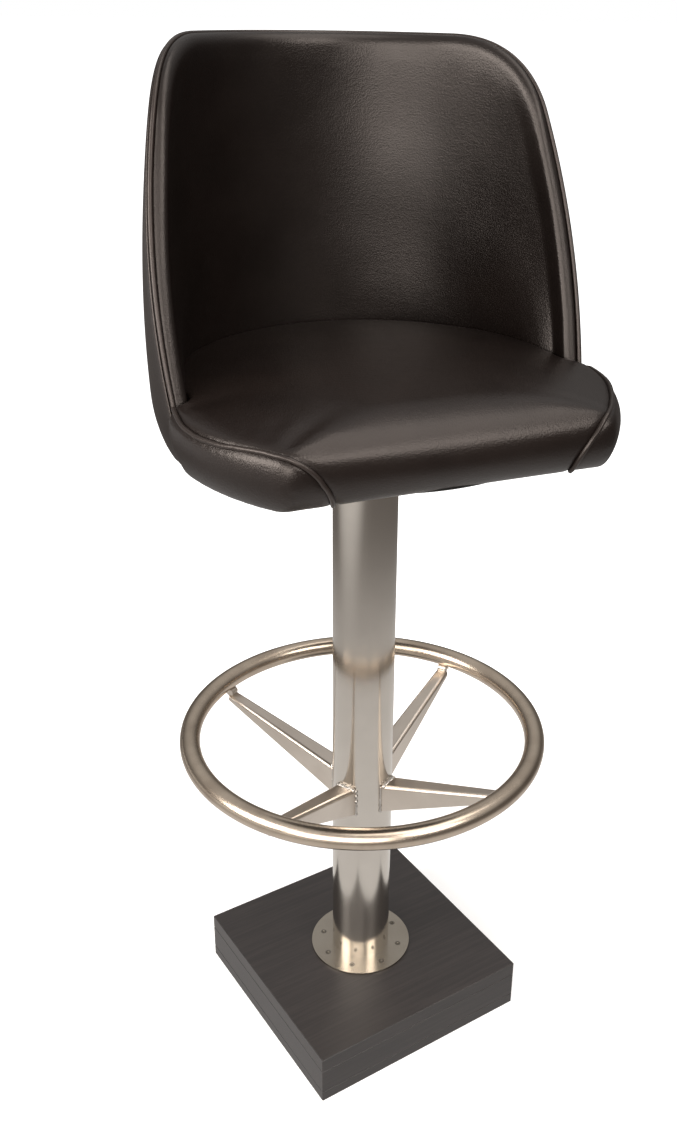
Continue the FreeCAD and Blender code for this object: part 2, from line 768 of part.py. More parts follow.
def rim_piping_line(count=25):
    """Points of the rim piping from the left foot over the top to the right foot."""
    inset = float(size.rim_piping_inset)
    foot_y = rim_points(0)[0]
    foot_z = seat_floor
    foot_angle = math.asin((foot_y - tub_centre) / tub_radius_at(foot_z, inset))
    half = []
    for index in range(count):
        angle = foot_angle + (math.pi / 2 - foot_angle) * index / (count - 1)
        height = foot_z
        for _ in range(rim_rounds):
            radius = tub_radius_at(height, inset)
            height = rim_height_at(tub_centre + radius * math.sin(angle))
        half.append(Vector(radius * math.cos(angle), tub_centre + radius * math.sin(angle), height))
    other = [Vector(-point.x, point.y, point.z) for point in half[-2::-1]]
    return half + other


above = rim_top + float(size.back_cover)
cover_inset = float(size.back_cover)
shell_inset = cover_inset + float(size.back_shell)
wall_inset = float(size.back_wall)
shell_bottom = tub_floor + float(size.back_hem)


RIM_CHECKS = (0.1, 0.4, 0.6, 0.9)


def on_rim(edge):
    """True for an edge that follows the rim line, seen from the side."""
    if edge.Curve.TypeId == "Part::GeomLine":
        return False
    span = edge.LastParameter - edge.FirstParameter
    spots = [edge.valueAt(edge.FirstParameter + span * share) for share in RIM_CHECKS]
    return all(abs(rim_height_at(spot.y) - spot.z) < rim_tolerance for spot in spots)


def roll_rim(solid):
    """Rolls the inner and the outer edge of the rim."""
    half_wall = wall_inset / 2
    for radius, outside in ((float(size.rim_inner_roll), False), (float(size.rim_outer_roll), True)):
        chosen = []
        for edge in solid.Edges:
            spot = edge.valueAt((edge.FirstParameter + edge.LastParameter) / 2)
            reach = math.hypot(spot.x, spot.y - tub_centre)
            if on_rim(edge) and (reach > tub_radius_at(spot.z, half_wall)) == outside:
                chosen.append(edge)
        solid = solid.makeFillet(radius, chosen)
    return solid


def cylinder_about(forward, radius, bottom, top):
    return Part.makeCylinder(radius, top - bottom, Vector(0, -forward, bottom))


def wide_box(front, back, bottom, top):
    reach = float(size.tub_radius) + past_tub
    return Part.makeBox(reach * 2, back - front, top - bottom, Vector(-reach, front, bottom))


rim_piping = round_tube(rim_piping_line(), float(size.piping_diameter))
whole_back = roll_rim(turned_wall(0, wall_inset, tub_floor, above).common(behind_rim(0)))
below = tub_floor - past_face
outer_skin = turned_wall(-past_face, cover_inset, below, above)
bottom_return = turned_wall(-past_face, wall_inset - past_face, below, shell_bottom)
shell_wall = turned_wall(cover_inset, shell_inset, shell_bottom, above)
shell_blank = shell_wall.common(behind_rim(float(size.rim_padding)))


def seat_board_blank():
    """The plywood seat: round inside the shell, with wider shoulders in front of the rim."""
    top = float(board_top)
    gap = float(size.board_gap)
    shoulder_radius = float(cushion_foot_radius - size.board_edge_cover)
    rear = cylinder_about(float(size.tub_forward), float(size.tub_radius), seat_floor, top)
    rear = rear.cut(turned_wall(-past_tub, shell_inset + gap, below, above))
    shoulder = cylinder_about(float(size.cushion_forward), shoulder_radius, seat_floor, top)
    rim_foot = -float(size.rim_foot_forward) - gap
    front = -float(size.cushion_front) + float(size.cushion_front_tuck) + float(size.board_edge_cover)
    board = rear.fuse(shoulder.common(wide_box(front, rim_foot, seat_floor, top)))
    board = board.common(wide_box(front, float(size.tub_radius), seat_floor, top))
    return board.cut(rim_piping).removeSplitter()


def tee_nut_spaces():
    """The holes of the seat board for the barrels and flanges of the tee nuts."""
    barrel = Part.makeCylinder(float(size.tee_nut_barrel) / 2, float(size.board_thickness))
    flange_seat = Part.makeCylinder(float(size.tee_nut_flange) / 2, float(size.tee_nut_plate),
                                    Vector(0, 0, float(size.board_thickness - size.tee_nut_plate)))
    return placed_copies(barrel.fuse(flange_seat), square_spots(size.bolt_spread, seat_bottom))


def shell_screw_places():
    """Screws driven inwards through the shell into the edge of the seat board."""
    height = seat_floor + float(size.board_thickness) / 2
    radius = tub_radius_at(height, cover_inset) - float(size.shell_screw_sink)
    count = int(float(size.shell_screw_count))
    places = []
    for index in range(count):
        angle = 180 * (index + 0.5) / count
        spot = around(radius, angle, height) + Vector(0, tub_centre, 0)
        inward = around(-1, angle)
        places.append(FreeCAD.Placement(spot, FreeCAD.Rotation(-UP, inward)))
    return places


def dust_cover_shape():
    """Black cloth under the seat, cut out round the seat plate."""
    thickness = float(size.dust_cover)
    radius = tub_radius_at(seat_floor - thickness, wall_inset) - float(size.dust_cover_margin)
    disc = cylinder_about(float(size.tub_forward), radius, seat_floor - thickness, seat_floor)
    opening = float(size.plate_side) + float(size.dust_cover_margin)
    hole = Part.makeBox(opening, opening, thickness,
                        Vector(-opening / 2, -opening / 2, seat_floor - thickness))
    return disc.cut(hole)


# Cushion: a crowned round pad with a straight waterfall front and two piped seams

SEAM_FRONT = [
    # inset from the cushion's widest side, height above the underside of the seat
    (90, 47),
    (100, 38),
    (108, 29),
    (113, 20),
    (117, 11),
    (119, 3),
]


def stretched(across, turn):
    """A point of the cushion's rounded plan at a radius across the seat and an angle forward."""
    stretch = float(size.cushion_half_depth / cushion_half_width)
    return across * math.cos(turn), -float(size.cushion_forward) - across * stretch * math.sin(turn)


def front_corners():
    """Foot, foremost point and top of the rolled front, seen from the side."""
    front = -float(size.cushion_front)
    top_height = seat_floor + float(size.cushion_front_height)
    return (Vector(0, front + float(size.cushion_front_tuck), seat_floor),
            Vector(0, front, seat_floor + float(size.cushion_widest_height)),
            Vector(0, front + float(size.cushion_front_roll), top_height))


def front_at(height):
    """How far forward the rolled front reaches at a height."""
    foot, foremost, top = front_corners()
    other = top if height > foremost.z else foot
    radius = (other - foremost).Length ** 2 / (2 * (other.y - foremost.y))
    return foremost.y + radius - math.sqrt(radius ** 2 - (height - foremost.z) ** 2)


def seam_line(sign):
    """One cushion seam: round the side at seam height, then down the front."""
    radius = float(cushion_seam_radius)
    height = seat_floor + float(size.cushion_seam_height)
    lean = math.tan(math.radians(float(size.rim_lean)))
    rim_y = rim_points(0)[0] + float(size.cushion_seam_height) * lean - float(size.piping_diameter)
    depth = radius * float(size.cushion_half_depth / cushion_half_width)
    start = math.asin((-rim_y - float(size.cushion_forward)) / depth)
    finish = math.radians(float(size.seam_corner_angle))
    side = []
    for index in range(6):
        across, along = stretched(radius, start + (finish - start) * index / 5)
        side.append(Vector(across, along, height))
    drop = [Vector(float(cushion_half_width) - inset, front_at(seat_floor + rise), seat_floor + rise)
            for inset, rise in SEAM_FRONT]
    curve = Part.BSplineCurve()
    curve.interpolate(side + drop)
    return [Vector(sign * spot.x, spot.y, spot.z) for spot in curve.discretize(24)]


def crowned_disc():
    """The rounded cushion before its front and back are shaped: turned, then drawn out in depth."""
    foot = Vector(float(cushion_foot_radius), 0, seat_floor)
    widest = Vector(float(cushion_half_width), 0, seat_floor + float(size.cushion_widest_height))
    seam = Vector(float(cushion_seam_radius), 0, seat_floor + float(size.cushion_seam_height))
    shoulder = Vector(float(cushion_shoulder_radius), 0,
                      seat_floor + float(size.cushion_shoulder_height))
    crown = Vector(0, 0, seat_floor + float(size.cushion_height))
    middle = Vector(0, 0, seat_floor)
    outward = Vector(1, 0, 0)
    edges = [
        Part.makeLine(middle, foot),
        arc_leaving(widest, -UP, foot),
        arc_leaving(widest, UP, seam),
        arc_leaving(shoulder, direction_after(crown, outward, shoulder), seam),
        arc_leaving(crown, outward, shoulder),
        Part.makeLine(crown, middle),
    ]
    disc = Part.Face(Part.Wire(Part.__sortEdges__(edges))).revolve(Vector(), UP, 360)
    drawn = FreeCAD.Matrix()
    drawn.scale(1, float(size.cushion_half_depth / cushion_half_width), 1)
    disc = disc.transformGeometry(drawn)
    disc.translate(Vector(0, -float(size.cushion_forward), 0))
    return disc


def behind_front():
    """Everything behind the rolled front of the cushion, as a block across the seat."""
    reach = float(size.tub_radius) + past_tub
    foot, foremost, top = front_corners()
    high = seat_floor + float(size.cushion_height) + past_face
    leaving = direction_after(foremost, UP, top)
    ridge = top + leaving * ((high - top.z) / leaving.z)
    rear_high = Vector(0, reach, high)
    rear_low = Vector(0, reach, seat_floor)
    edges = [
        arc_leaving(foremost, -UP, foot),
        arc_leaving(foremost, UP, top),
        Part.makeLine(top, ridge),
        Part.makeLine(ridge, rear_high),
        Part.makeLine(rear_high, rear_low),
        Part.makeLine(rear_low, foot),
    ]
    block = Part.Face(Part.Wire(Part.__sortEdges__(edges))).extrude(Vector(reach * 2, 0, 0))
    block.translate(Vector(-reach, 0, 0))
    return block


def seat_parts():
    """The upholstered seat, with every piece cut to the ones that it meets."""
    gap = float(size.cushion_gap)
    piping = float(size.piping_diameter)
    places = shell_screw_places()
    screws = placed_copies(countersunk_screw(size.shell_screw_length), places)
    head_room = Part.makeCylinder(float(size.screw_head) / 2, float(size.shell_screw_sink) + past_face)
    drive_depth = float(size.screw_head - size.screw_shank) / 2
    drive_room = Part.makeCylinder(float(size.drive_mouth) / 2, drive_depth, Vector(0, 0, -drive_depth))
    pockets = placed_copies(head_room.fuse(drive_room), places)
    board = seat_board_blank()
    shape_part("seat_board", board.cut(screws).cut(tee_nut_spaces()), seat_turn)
    shape_part("dust_cover", dust_cover_shape(), seat_turn)
    shape_part("back_shell", shell_blank.cut(screws).cut(pockets), seat_turn)
    shape_part("shell_screws", screws, seat_turn)
    cover = whole_back.common(outer_skin.fuse(bottom_return)).cut(shell_blank).cut(rim_piping)
    shape_part("back_cover", cover, seat_turn)
    pad = whole_back.cut(outer_skin).cut(bottom_return).cut(shell_blank).cut(rim_piping)
    pad = pad.common(wide_box(-float(size.tub_radius), float(size.tub_radius), seat_floor, above))
    shape_part("back_pad", pad.cut(board).cut(screws), seat_turn)
    shape_part("rim_piping", rim_piping, seat_turn)
    tub_space = turned_wall(-past_tub, wall_inset + gap, below, above)
    behind_piping = behind_rim(-piping / 2 - gap)
    cushion = crowned_disc().common(behind_front()).cut(tub_space.common(behind_piping)).cut(board)
    for side, sign in (("right", 1), ("left", -1)):
        seam = round_tube(seam_line(sign), piping)
        cushion = cushion.cut(seam)
        shape_part("cushion_piping_" + side, seam, seat_turn)
    shape_part("seat_cushion", cushion, seat_turn)


seat_parts()

doc.recompute()
for item in doc.Objects:
    if "Invalid" in item.State or "Error" in item.State:
        raise RuntimeError(item.Name + " did not build")
for part in finished_parts:
    if part.Shape.isNull() or not part.Shape.isValid():
        raise RuntimeError(part.Label + " has no valid shape")

os.makedirs("parts", exist_ok=True)
for part in finished_parts:
    part.Shape.exportStep(f"parts/{part.Label}.step")
    print(part.Label, len(part.Shape.Solids), round(part.Shape.Volume / 1000, 2))
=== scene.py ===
import math

import bmesh
import bpy
from mathutils import Matrix, Vector, noise
from mathutils.bvhtree import BVHTree
from mathutils.kdtree import KDTree


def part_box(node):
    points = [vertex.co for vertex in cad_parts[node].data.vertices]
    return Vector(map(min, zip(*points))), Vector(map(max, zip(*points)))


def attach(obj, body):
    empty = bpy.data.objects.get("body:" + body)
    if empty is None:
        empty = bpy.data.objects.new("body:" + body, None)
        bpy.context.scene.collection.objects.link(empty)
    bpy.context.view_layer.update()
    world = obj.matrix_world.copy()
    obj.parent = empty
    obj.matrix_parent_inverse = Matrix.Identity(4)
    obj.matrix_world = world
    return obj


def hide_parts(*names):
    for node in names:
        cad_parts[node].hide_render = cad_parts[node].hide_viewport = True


# Bar stool in metres: an upholstered tub seat on a satin steel column with a round foot
# ring on four folded arms, and a black board base. Z is up and the origin is the middle of
# the underside of the base. Seat pieces are shaped facing -Y and then turned with the seat.

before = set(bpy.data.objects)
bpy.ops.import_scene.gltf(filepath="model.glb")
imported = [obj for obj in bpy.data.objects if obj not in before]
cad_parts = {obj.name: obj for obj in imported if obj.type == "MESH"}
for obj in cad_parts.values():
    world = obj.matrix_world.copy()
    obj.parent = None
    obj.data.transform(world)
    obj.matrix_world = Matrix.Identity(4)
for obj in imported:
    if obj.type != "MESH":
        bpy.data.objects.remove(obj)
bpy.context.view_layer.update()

MM = 0.001
SEAT_TURN = math.radians(-10.5)
SAME_SPOT = 1e-6
NO_LENGTH = 1e-12

# Heights taken from the frame
seat_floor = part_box("seat_board")[0].z
base_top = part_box("base_top_board")[1].z
column_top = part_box("column_tube")[1].z
column_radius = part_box("column_tube")[1].x

# Tub: a bowed side that curls in at the foot, cut by a rim line seen from the side
TUB_FORWARD = 25 * MM
TUB_RADIUS = 240.5 * MM
TUB_WIDEST = 113 * MM
TUB_BOW = 1.4
TUB_CURL = 150 * MM
TUB_CURL_HEIGHT = 48 * MM
TUB_BOTTOM = 12 * MM
BACK_HEIGHT = 391.5 * MM
BACK_WALL = 24 * MM
PAD_CROWN = 12 * MM
RIM_FOOT_FORWARD = 84 * MM
RIM_LEAN = math.radians(18.3)
RIM_CORNER = 105 * MM
PIPING_INSET = 5 * MM
PIPING_DIAMETER = 5 * MM
RIM_WELT_POINTS = 420

# Cushion: rounded plan about a centre ahead of the column, rolled front, two piped seams
CUSHION_FORWARD = 51 * MM
CUSHION_HALF_WIDTH = 244 * MM
CUSHION_HALF_DEPTH = 262 * MM
CUSHION_HEIGHT = 81 * MM
CUSHION_SHOULDER = 196 * MM
CUSHION_SHOULDER_HEIGHT = 73 * MM
CUSHION_FRONT = 238 * MM
CUSHION_FRONT_TUCK = 23 * MM
CUSHION_FRONT_ROLL = 38 * MM
CUSHION_FRONT_HEIGHT = 76 * MM
CUSHION_WIDEST = 38 * MM
CUSHION_FOOT = 230 * MM
CUSHION_HEM = 5.5 * MM
HEM_RISE = 26 * MM
HEM_START = 0.86
HEM_SPREAD = 0.07
SEAM_RADIUS = 236 * MM
SEAM_HEIGHT = 61 * MM
SEAM_GROOVE = 1.5 * MM
SEAM_GROOVE_WIDTH = 4.5 * MM
SEAM_REACH = 22 * MM
WELT_PROUD = 1.7 * MM
SEAM_POINTS = 150
WELT_POINTS = 160

# Stuffing: the cushion's blank is lower than the cushion by what the pressure puffs out. The
# leather is fixed at the foot, along the seams and behind the tub's wall and rim.
BLANK_SLACK = 3 * MM
BLANK_MESH = 4.9 * MM
CUSHION_TO_TUB = 0.6 * MM
CUTTER_BELOW = 30 * MM
CUTTER_STEP = 20 * MM
CUTTER_BEYOND = 60 * MM
PUFF_PRESSURE = 12.0
PUFF_LIMIT = 6 * MM
PUFF_FRAMES = 24
FIXED_FOOT = 1 * MM
FIXED_SEAM = 5 * MM
FIXED_AT_WALL = 7 * MM
FIXED_AT_RIM = 9 * MM

# The two seams: degrees forward round the cushion, and millimetres above its underside
SEAM_RIGHT = ((5, 57), (10, 58), (18, 60), (26, 63), (34, 64), (41, 63.5), (46.5, 60), (50, 53),
              (52.5, 45), (55, 34), (56.3, 23), (56.5, 11), (55.3, 1))
SEAM_LEFT = ((5, 62), (7.5, 60), (11.5, 55.5), (16.5, 52.5), (21, 52), (27, 53), (32.5, 55.5), (38, 57),
             (43, 56.5), (48.5, 51), (52.5, 41.5), (55, 30), (57, 16), (58, 2))


# Nodes of a finish

class Signal:
    """A value in a node tree. Arithmetic on it adds Math nodes."""

    def __init__(self, nodes, socket):
        self.nodes = nodes
        self.socket = socket

    def math(self, operation, *terms):
        return self.nodes.add("ShaderNodeMath", {"operation": operation}, dict(enumerate(terms)))

    def __add__(self, other):
        return self.math("ADD", self, other)

    def __radd__(self, other):
        return self.math("ADD", other, self)

    def __sub__(self, other):
        return self.math("SUBTRACT", self, other)

    def __rsub__(self, other):
        return self.math("SUBTRACT", other, self)

    def __mul__(self, other):
        return self.math("MULTIPLY", self, other)

    def __rmul__(self, other):
        return self.math("MULTIPLY", other, self)

    def between(self, low, high):
        """0 below low, 1 above high, and a smooth step between them."""
        return self.nodes.add("ShaderNodeMapRange", {"interpolation_type": "SMOOTHSTEP"},
                              {"Value": self, "From Min": low, "From Max": high})


class Nodes:
    """A node tree that is filled one node at a time."""

    def __init__(self, tree):
        self.tree = tree
        tree.nodes.clear()

    def add(self, kind, settings=None, sockets=None, out=0):
        """A node of a kind, with its settings and the values or links of its sockets."""
        made = self.tree.nodes.new(kind)
        for name, value in (settings or {}).items():
            setattr(made, name, value)
        for key, value in (sockets or {}).items():
            socket = self.find(made.inputs, key)
            if isinstance(value, Signal):
                self.tree.links.new(value.socket, socket)
            else:
                socket.default_value = value
        if not made.outputs:
            return None
        return Signal(self, self.find(made.outputs, out))

    @staticmethod
    def find(sockets, key):
        """A socket by its number, its identifier or its name."""
        if isinstance(key, int):
            return sockets[key]
        exact = [socket for socket in sockets if socket.identifier == key]
        return exact[0] if exact else sockets[key]

    def place(self, stretch=(1, 1, 1)):
        """Object coordinates, stretched along the axes."""
        point = self.add("ShaderNodeTexCoord", out="Object")
        return self.add("ShaderNodeMapping", None, {"Vector": point, "Scale": stretch})

    def noise(self, point, scale, detail, roughness=0.55, distortion=0.0):
        return self.add("ShaderNodeTexNoise", None, {
            "Vector": point, "Scale": scale, "Detail": detail, "Roughness": roughness,
            "Distortion": distortion})

    def mix(self, share, first, second):
        return self.add("ShaderNodeMix", {"data_type": "RGBA"}, {
            "Factor_Float": share, "A_Color": first, "B_Color": second}, out="Result_Color")

    def bump(self, height, distance, strength):
        return self.add("ShaderNodeBump", None, {
            "Height": height, "Distance": distance, "Strength": strength})

    def surface(self, sockets):
        shader = self.add("ShaderNodeBsdfPrincipled", None, sockets)
        self.add("ShaderNodeOutputMaterial", None, {"Surface": shader})


def colour(red, green, blue):
    return (red, green, blue, 1.0)


def new_finish(name):
    """An empty material and its node tree."""
    material = bpy.data.materials.new(name)
    material.use_nodes = True
    return material, Nodes(material.node_tree)


# Finishes

def leather(name, dark, light, shine, grain=1.0):
    """Dyed upholstery leather: close pebbled grain, faint creases and uneven shine."""
    material, nodes = new_finish(name)
    point = nodes.place()
    cloud = nodes.noise(point, 9.0, 4.0)
    pebbles = nodes.add("ShaderNodeTexVoronoi", {"feature": "SMOOTH_F1"}, {
        "Vector": point, "Scale": 560.0, "Smoothness": 0.35, "Randomness": 1.0})
    fine = nodes.noise(point, 1300.0, 2.0)
    crease = nodes.noise(nodes.place((1.0, 1.0, 2.2)), 55.0, 5.0, 0.62, 0.6)
    worn = nodes.noise(point, 28.0, 5.0, 0.6)
    height = pebbles * 0.5 + fine * 0.3 + crease * 0.6
    nodes.surface({
        "Base Color": nodes.mix(cloud.between(0.3, 0.7), dark, light),
        "Roughness": shine - 0.05 + worn * 0.12 + pebbles * 0.05,
        "Normal": nodes.bump(height, 0.00034 * grain, 0.8),
        "Specular IOR Level": 0.45,
        "Specular Tint": colour(1.0, 0.90, 0.85),
    })
    return material


def brushed_metal(name, base, tint, rough, stretch, scratch, stain):
    """Ground and satined steel: fine lines along one direction, with faint cloudy stains."""
    material, nodes = new_finish(name)
    lines = nodes.noise(nodes.place(stretch), 1.0, 4.0, 0.7)
    cloud = nodes.noise(nodes.place(), 14.0, 4.0)
    nodes.surface({
        "Base Color": nodes.mix(cloud.between(0.35, 0.7) * stain, base, tint),
        "Metallic": 1.0,
        "Roughness": rough - 0.04 + lines * 0.05 + cloud * 0.04,
        "Normal": nodes.bump(lines, scratch, 0.6),
    })
    return material


def plain_metal(name, base, tint, rough, metallic=1.0):
    """Turned or plated metal with a slightly uneven surface."""
    material, nodes = new_finish(name)
    cloud = nodes.noise(nodes.place(), 120.0, 4.0)
    speck = nodes.noise(nodes.place(), 1200.0, 2.0)
    nodes.surface({
        "Base Color": nodes.mix(cloud, base, tint),
        "Metallic": metallic,
        "Roughness": rough - 0.08 + cloud * 0.16,
        "Normal": nodes.bump(speck, 0.00003, 0.5),
    })
    return material


def painted_board(name):
    """Black lacquer on wood: the grain shows faintly through a satin film."""
    material, nodes = new_finish(name)
    grain = nodes.noise(nodes.place((9.0, 260.0, 260.0)), 1.0, 5.0, 0.6, 0.4)
    pores = nodes.noise(nodes.place((40.0, 1400.0, 1400.0)), 1.0, 3.0, 0.6)
    cloud = nodes.noise(nodes.place(), 7.0, 3.0)
    height = grain * 0.7 + pores.between(0.52, 0.68) * -0.5
    nodes.surface({
        "Base Color": nodes.mix(grain.between(0.35, 0.7), colour(0.020, 0.017, 0.0165),
                                colour(0.030, 0.025, 0.024)),
        "Roughness": 0.34 + cloud * 0.1 + grain * 0.06,
        "Normal": nodes.bump(height, 0.00006, 0.6),
    })
    return material


def woven_cloth(name, dark, light):
    """Thin plain-woven cloth: threads along both axes."""
    material, nodes = new_finish(name)
    point = nodes.place()
    threads = {"Vector": point, "Scale": 300.0}
    across = nodes.add("ShaderNodeTexWave", {"bands_direction": "X"}, threads)
    along = nodes.add("ShaderNodeTexWave", {"bands_direction": "Y"}, threads)
    weave = across * along
    nodes.surface({
        "Base Color": nodes.mix(weave, dark, light),
        "Roughness": 0.8 + weave * 0.15,
        "Normal": nodes.bump(weave, 0.0002, 0.8),
    })
    return material


def plywood(name):
    """Raw plywood: level layers with a long grain."""
    material, nodes = new_finish(name)
    layers = nodes.add("ShaderNodeTexWave", {"bands_direction": "Z"}, {
        "Vector": nodes.place(), "Scale": 180.0, "Distortion": 0.6})
    grain = nodes.noise(nodes.place((12.0, 300.0, 60.0)), 1.0, 5.0, 0.6, 0.5)
    shade = layers * 0.5 + grain * 0.5
    nodes.surface({
        "Base Color": nodes.mix(shade, colour(0.36, 0.22, 0.11), colour(0.55, 0.38, 0.21)),
        "Roughness": 0.6 + grain * 0.2,
        "Normal": nodes.bump(grain, 0.0001, 0.6),
    })
    return material


def soft_plastic(name, dark, light):
    """Moulded nylon with a slightly cloudy shine."""
    material, nodes = new_finish(name)
    cloud = nodes.noise(nodes.place(), 90.0, 3.0)
    speck = nodes.noise(nodes.place(), 900.0, 2.0)
    nodes.surface({
        "Base Color": nodes.mix(cloud, dark, light),
        "Roughness": 0.42 + cloud * 0.12,
        "Normal": nodes.bump(speck, 0.00004, 0.5),
    })
    return material


HIDE_DARK = colour(0.0054, 0.0034, 0.0028)
HIDE_LIGHT = colour(0.0080, 0.0052, 0.0043)
seat_leather = leather("seat_leather", HIDE_DARK, HIDE_LIGHT, 0.29)
# The lining is the seat's leather, its colour painted darker for the shade that falls inside the tub.
back_leather = leather("back_leather", colour(0.0036, 0.0023, 0.0019), colour(0.0055, 0.0036, 0.0030), 0.30)
outer_leather = leather("outer_leather", HIDE_DARK, HIDE_LIGHT, 0.29)
piping_leather = leather("piping_leather", colour(0.0110, 0.0080, 0.0070),
                         colour(0.0190, 0.0140, 0.0120), 0.30, 0.5)
column_steel = brushed_metal("column_steel", colour(0.63, 0.585, 0.53), colour(0.56, 0.52, 0.47), 0.17,
                             (900.0, 900.0, 3.0), 0.000012, 0.6)
ring_steel = brushed_metal("ring_steel", colour(0.58, 0.49, 0.395), colour(0.44, 0.36, 0.285), 0.25,
                           (500.0, 500.0, 500.0), 0.00003, 1.0)
arm_steel = brushed_metal("arm_steel", colour(0.66, 0.59, 0.52), colour(0.57, 0.505, 0.44), 0.30,
                          (260.0, 260.0, 260.0), 0.00002, 0.8)
flange_steel = brushed_metal("flange_steel", colour(0.40, 0.36, 0.305), colour(0.34, 0.30, 0.25), 0.24,
                             (40.0, 900.0, 40.0), 0.00002, 0.8)
weld_steel = plain_metal("weld_steel", colour(0.66, 0.63, 0.59), colour(0.42, 0.39, 0.36), 0.30)
screw_steel = plain_metal("screw_steel", colour(0.26, 0.235, 0.20), colour(0.14, 0.125, 0.105), 0.34)
zinc_steel = plain_metal("zinc_steel", colour(0.55, 0.54, 0.50), colour(0.42, 0.41, 0.38), 0.38)
turned_steel = plain_metal("turned_steel", colour(0.56, 0.55, 0.53), colour(0.46, 0.45, 0.43), 0.26)
spring_steel = plain_metal("spring_steel", colour(0.20, 0.19, 0.19), colour(0.12, 0.12, 0.12), 0.34)
black_steel = plain_metal("black_steel", colour(0.022, 0.022, 0.022), colour(0.034, 0.033, 0.032),
                          0.46, metallic=0.0)
bronze = plain_metal("bronze", colour(0.62, 0.42, 0.20), colour(0.50, 0.32, 0.14), 0.34)
nylon = soft_plastic("nylon", colour(0.56, 0.54, 0.48), colour(0.64, 0.62, 0.56))
board_lacquer = painted_board("board_lacquer")
seat_plywood = plywood("seat_plywood")
dust_cloth = woven_cloth("dust_cloth", colour(0.008, 0.008, 0.008), colour(0.025, 0.025, 0.025))

NODE_FINISHES = {
    "base_bottom_board": board_lacquer,
    "base_middle_board": board_lacquer,
    "base_top_board": board_lacquer,
    "base_board_screws": zinc_steel,
    "floor_flange": flange_steel,
    "flange_screws": screw_steel,
    "footrest_arm_right_rear": arm_steel,
    "footrest_arm_left_rear": arm_steel,
    "footrest_arm_left_front": arm_steel,
    "footrest_arm_right_front": arm_steel,
    "column_head": turned_steel,
    "upper_bush": bronze,
    "lower_bush": bronze,
    "thrust_washer": nylon,
    "swivel_spindle": turned_steel,
    "spindle_washer": turned_steel,
    "retaining_clip": spring_steel,
    "seat_plate": black_steel,
    "seat_bolts": zinc_steel,
    "tee_nuts": zinc_steel,
    "seat_board": seat_plywood,
    "dust_cover": dust_cloth,
    "back_shell": seat_plywood,
    "shell_screws": zinc_steel,
}
for node_name, finish in NODE_FINISHES.items():
    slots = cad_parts[node_name].data.materials
    slots.clear()
    slots.append(finish)


# Making pieces

def finish_piece(mesh_source, name, finish, body, replaced=(), turned=False, crease_angle=None):
    """Turns a bmesh into a finished piece of the stool, smooth except at edges sharper than an angle."""
    mesh = bpy.data.meshes.new(name)
    mesh_source.to_mesh(mesh)
    mesh_source.free()
    if turned:
        mesh.transform(Matrix.Rotation(SEAT_TURN, 4, "Z"))
    mesh.materials.append(finish)
    mesh.polygons.foreach_set("use_smooth", [True] * len(mesh.polygons))
    if crease_angle is not None:
        mesh.set_sharp_from_angle(angle=crease_angle)
    piece = bpy.data.objects.new(name, mesh)
    bpy.context.scene.collection.objects.link(piece)
    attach(piece, body)
    if replaced:
        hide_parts(*replaced)
    return piece


def apply_modifiers(piece):
    """Replaces a piece's mesh by what its modifiers make of it."""
    bpy.context.view_layer.update()
    seen = piece.evaluated_get(bpy.context.evaluated_depsgraph_get())
    made = bpy.data.meshes.new_from_object(seen)
    piece.modifiers.clear()
    piece.data = made


def subdivided(piece):
    """Rounds a piece with one level of subdivision."""
    smoother = piece.modifiers.new("Subdivision", "SUBSURF")
    smoother.levels = 1
    smoother.render_levels = 1
    apply_modifiers(piece)


def tube_along(points, radius, roundness=6):
    """A bmesh tube with closed ends through points."""
    curve = bpy.data.curves.new("tube_line", "CURVE")
    curve.dimensions = "3D"
    curve.bevel_depth = radius
    curve.bevel_resolution = roundness
    curve.use_fill_caps = True
    line = curve.splines.new("POLY")
    line.points.add(len(points) - 1)
    for place, point in zip(line.points, points):
        place.co = (*point, 1.0)
    line.use_smooth = True
    holder = bpy.data.objects.new("tube_line", curve)
    mesh = bpy.data.meshes.new_from_object(holder)
    tube = bmesh.new()
    tube.from_mesh(mesh)
    bpy.data.objects.remove(holder)
    bpy.data.curves.remove(curve)
    bpy.data.meshes.remove(mesh)
    return tube


def closed_up(form):
    """Merges doubled points and turns every face outwards."""
    bmesh.ops.remove_doubles(form, verts=form.verts, dist=SAME_SPOT)
    bmesh.ops.recalc_face_normals(form, faces=form.faces)
    return form


def turned_form(profile, steps, closed=False):
    """What a profile of radii and heights makes when it is turned about the column's axis."""
    form = bmesh.new()
    line = [form.verts.new((radius, 0.0, height)) for radius, height in profile]
    ends = zip(line, line[1:] + line[:1] if closed else line[1:])
    edges = [form.edges.new(pair) for pair in ends]
    bmesh.ops.spin(form, geom=line + edges, cent=(0, 0, 0), axis=(0, 0, 1), angle=math.tau, steps=steps,
                   use_merge=True)
    return closed_up(form)


# The tub's surfaces

def tub_radius_at(height, inset):
    """Radius of the tub's side about its own axis, at a height and inset from its outer face."""
    bow = TUB_BOW - inset
    bow_x = TUB_RADIUS - TUB_BOW
    bow_z = seat_floor + TUB_WIDEST
    curl_top = seat_floor + TUB_CURL_HEIGHT
    if height >= curl_top:
        return bow_x + math.sqrt(bow ** 2 - (height - bow_z) ** 2)
    rise = curl_top - bow_z
    seam_x = bow_x + math.sqrt(bow ** 2 - rise ** 2)
    inward = Vector((bow_x - seam_x, -rise)).normalized()
    curl = TUB_CURL - inset
    centre_x = seam_x + inward.x * curl
    centre_z = curl_top + inward.y * curl
    return centre_x + math.sqrt(max(curl ** 2 - (height - centre_z) ** 2, 0.0))


def tub_point(angle, height, inset):
    """The place on the tub's side at an angle and height, and inset from its outer face."""
    radius = tub_radius_at(height, inset)
    return Vector((radius * math.cos(angle), -TUB_FORWARD + radius * math.sin(angle), height))


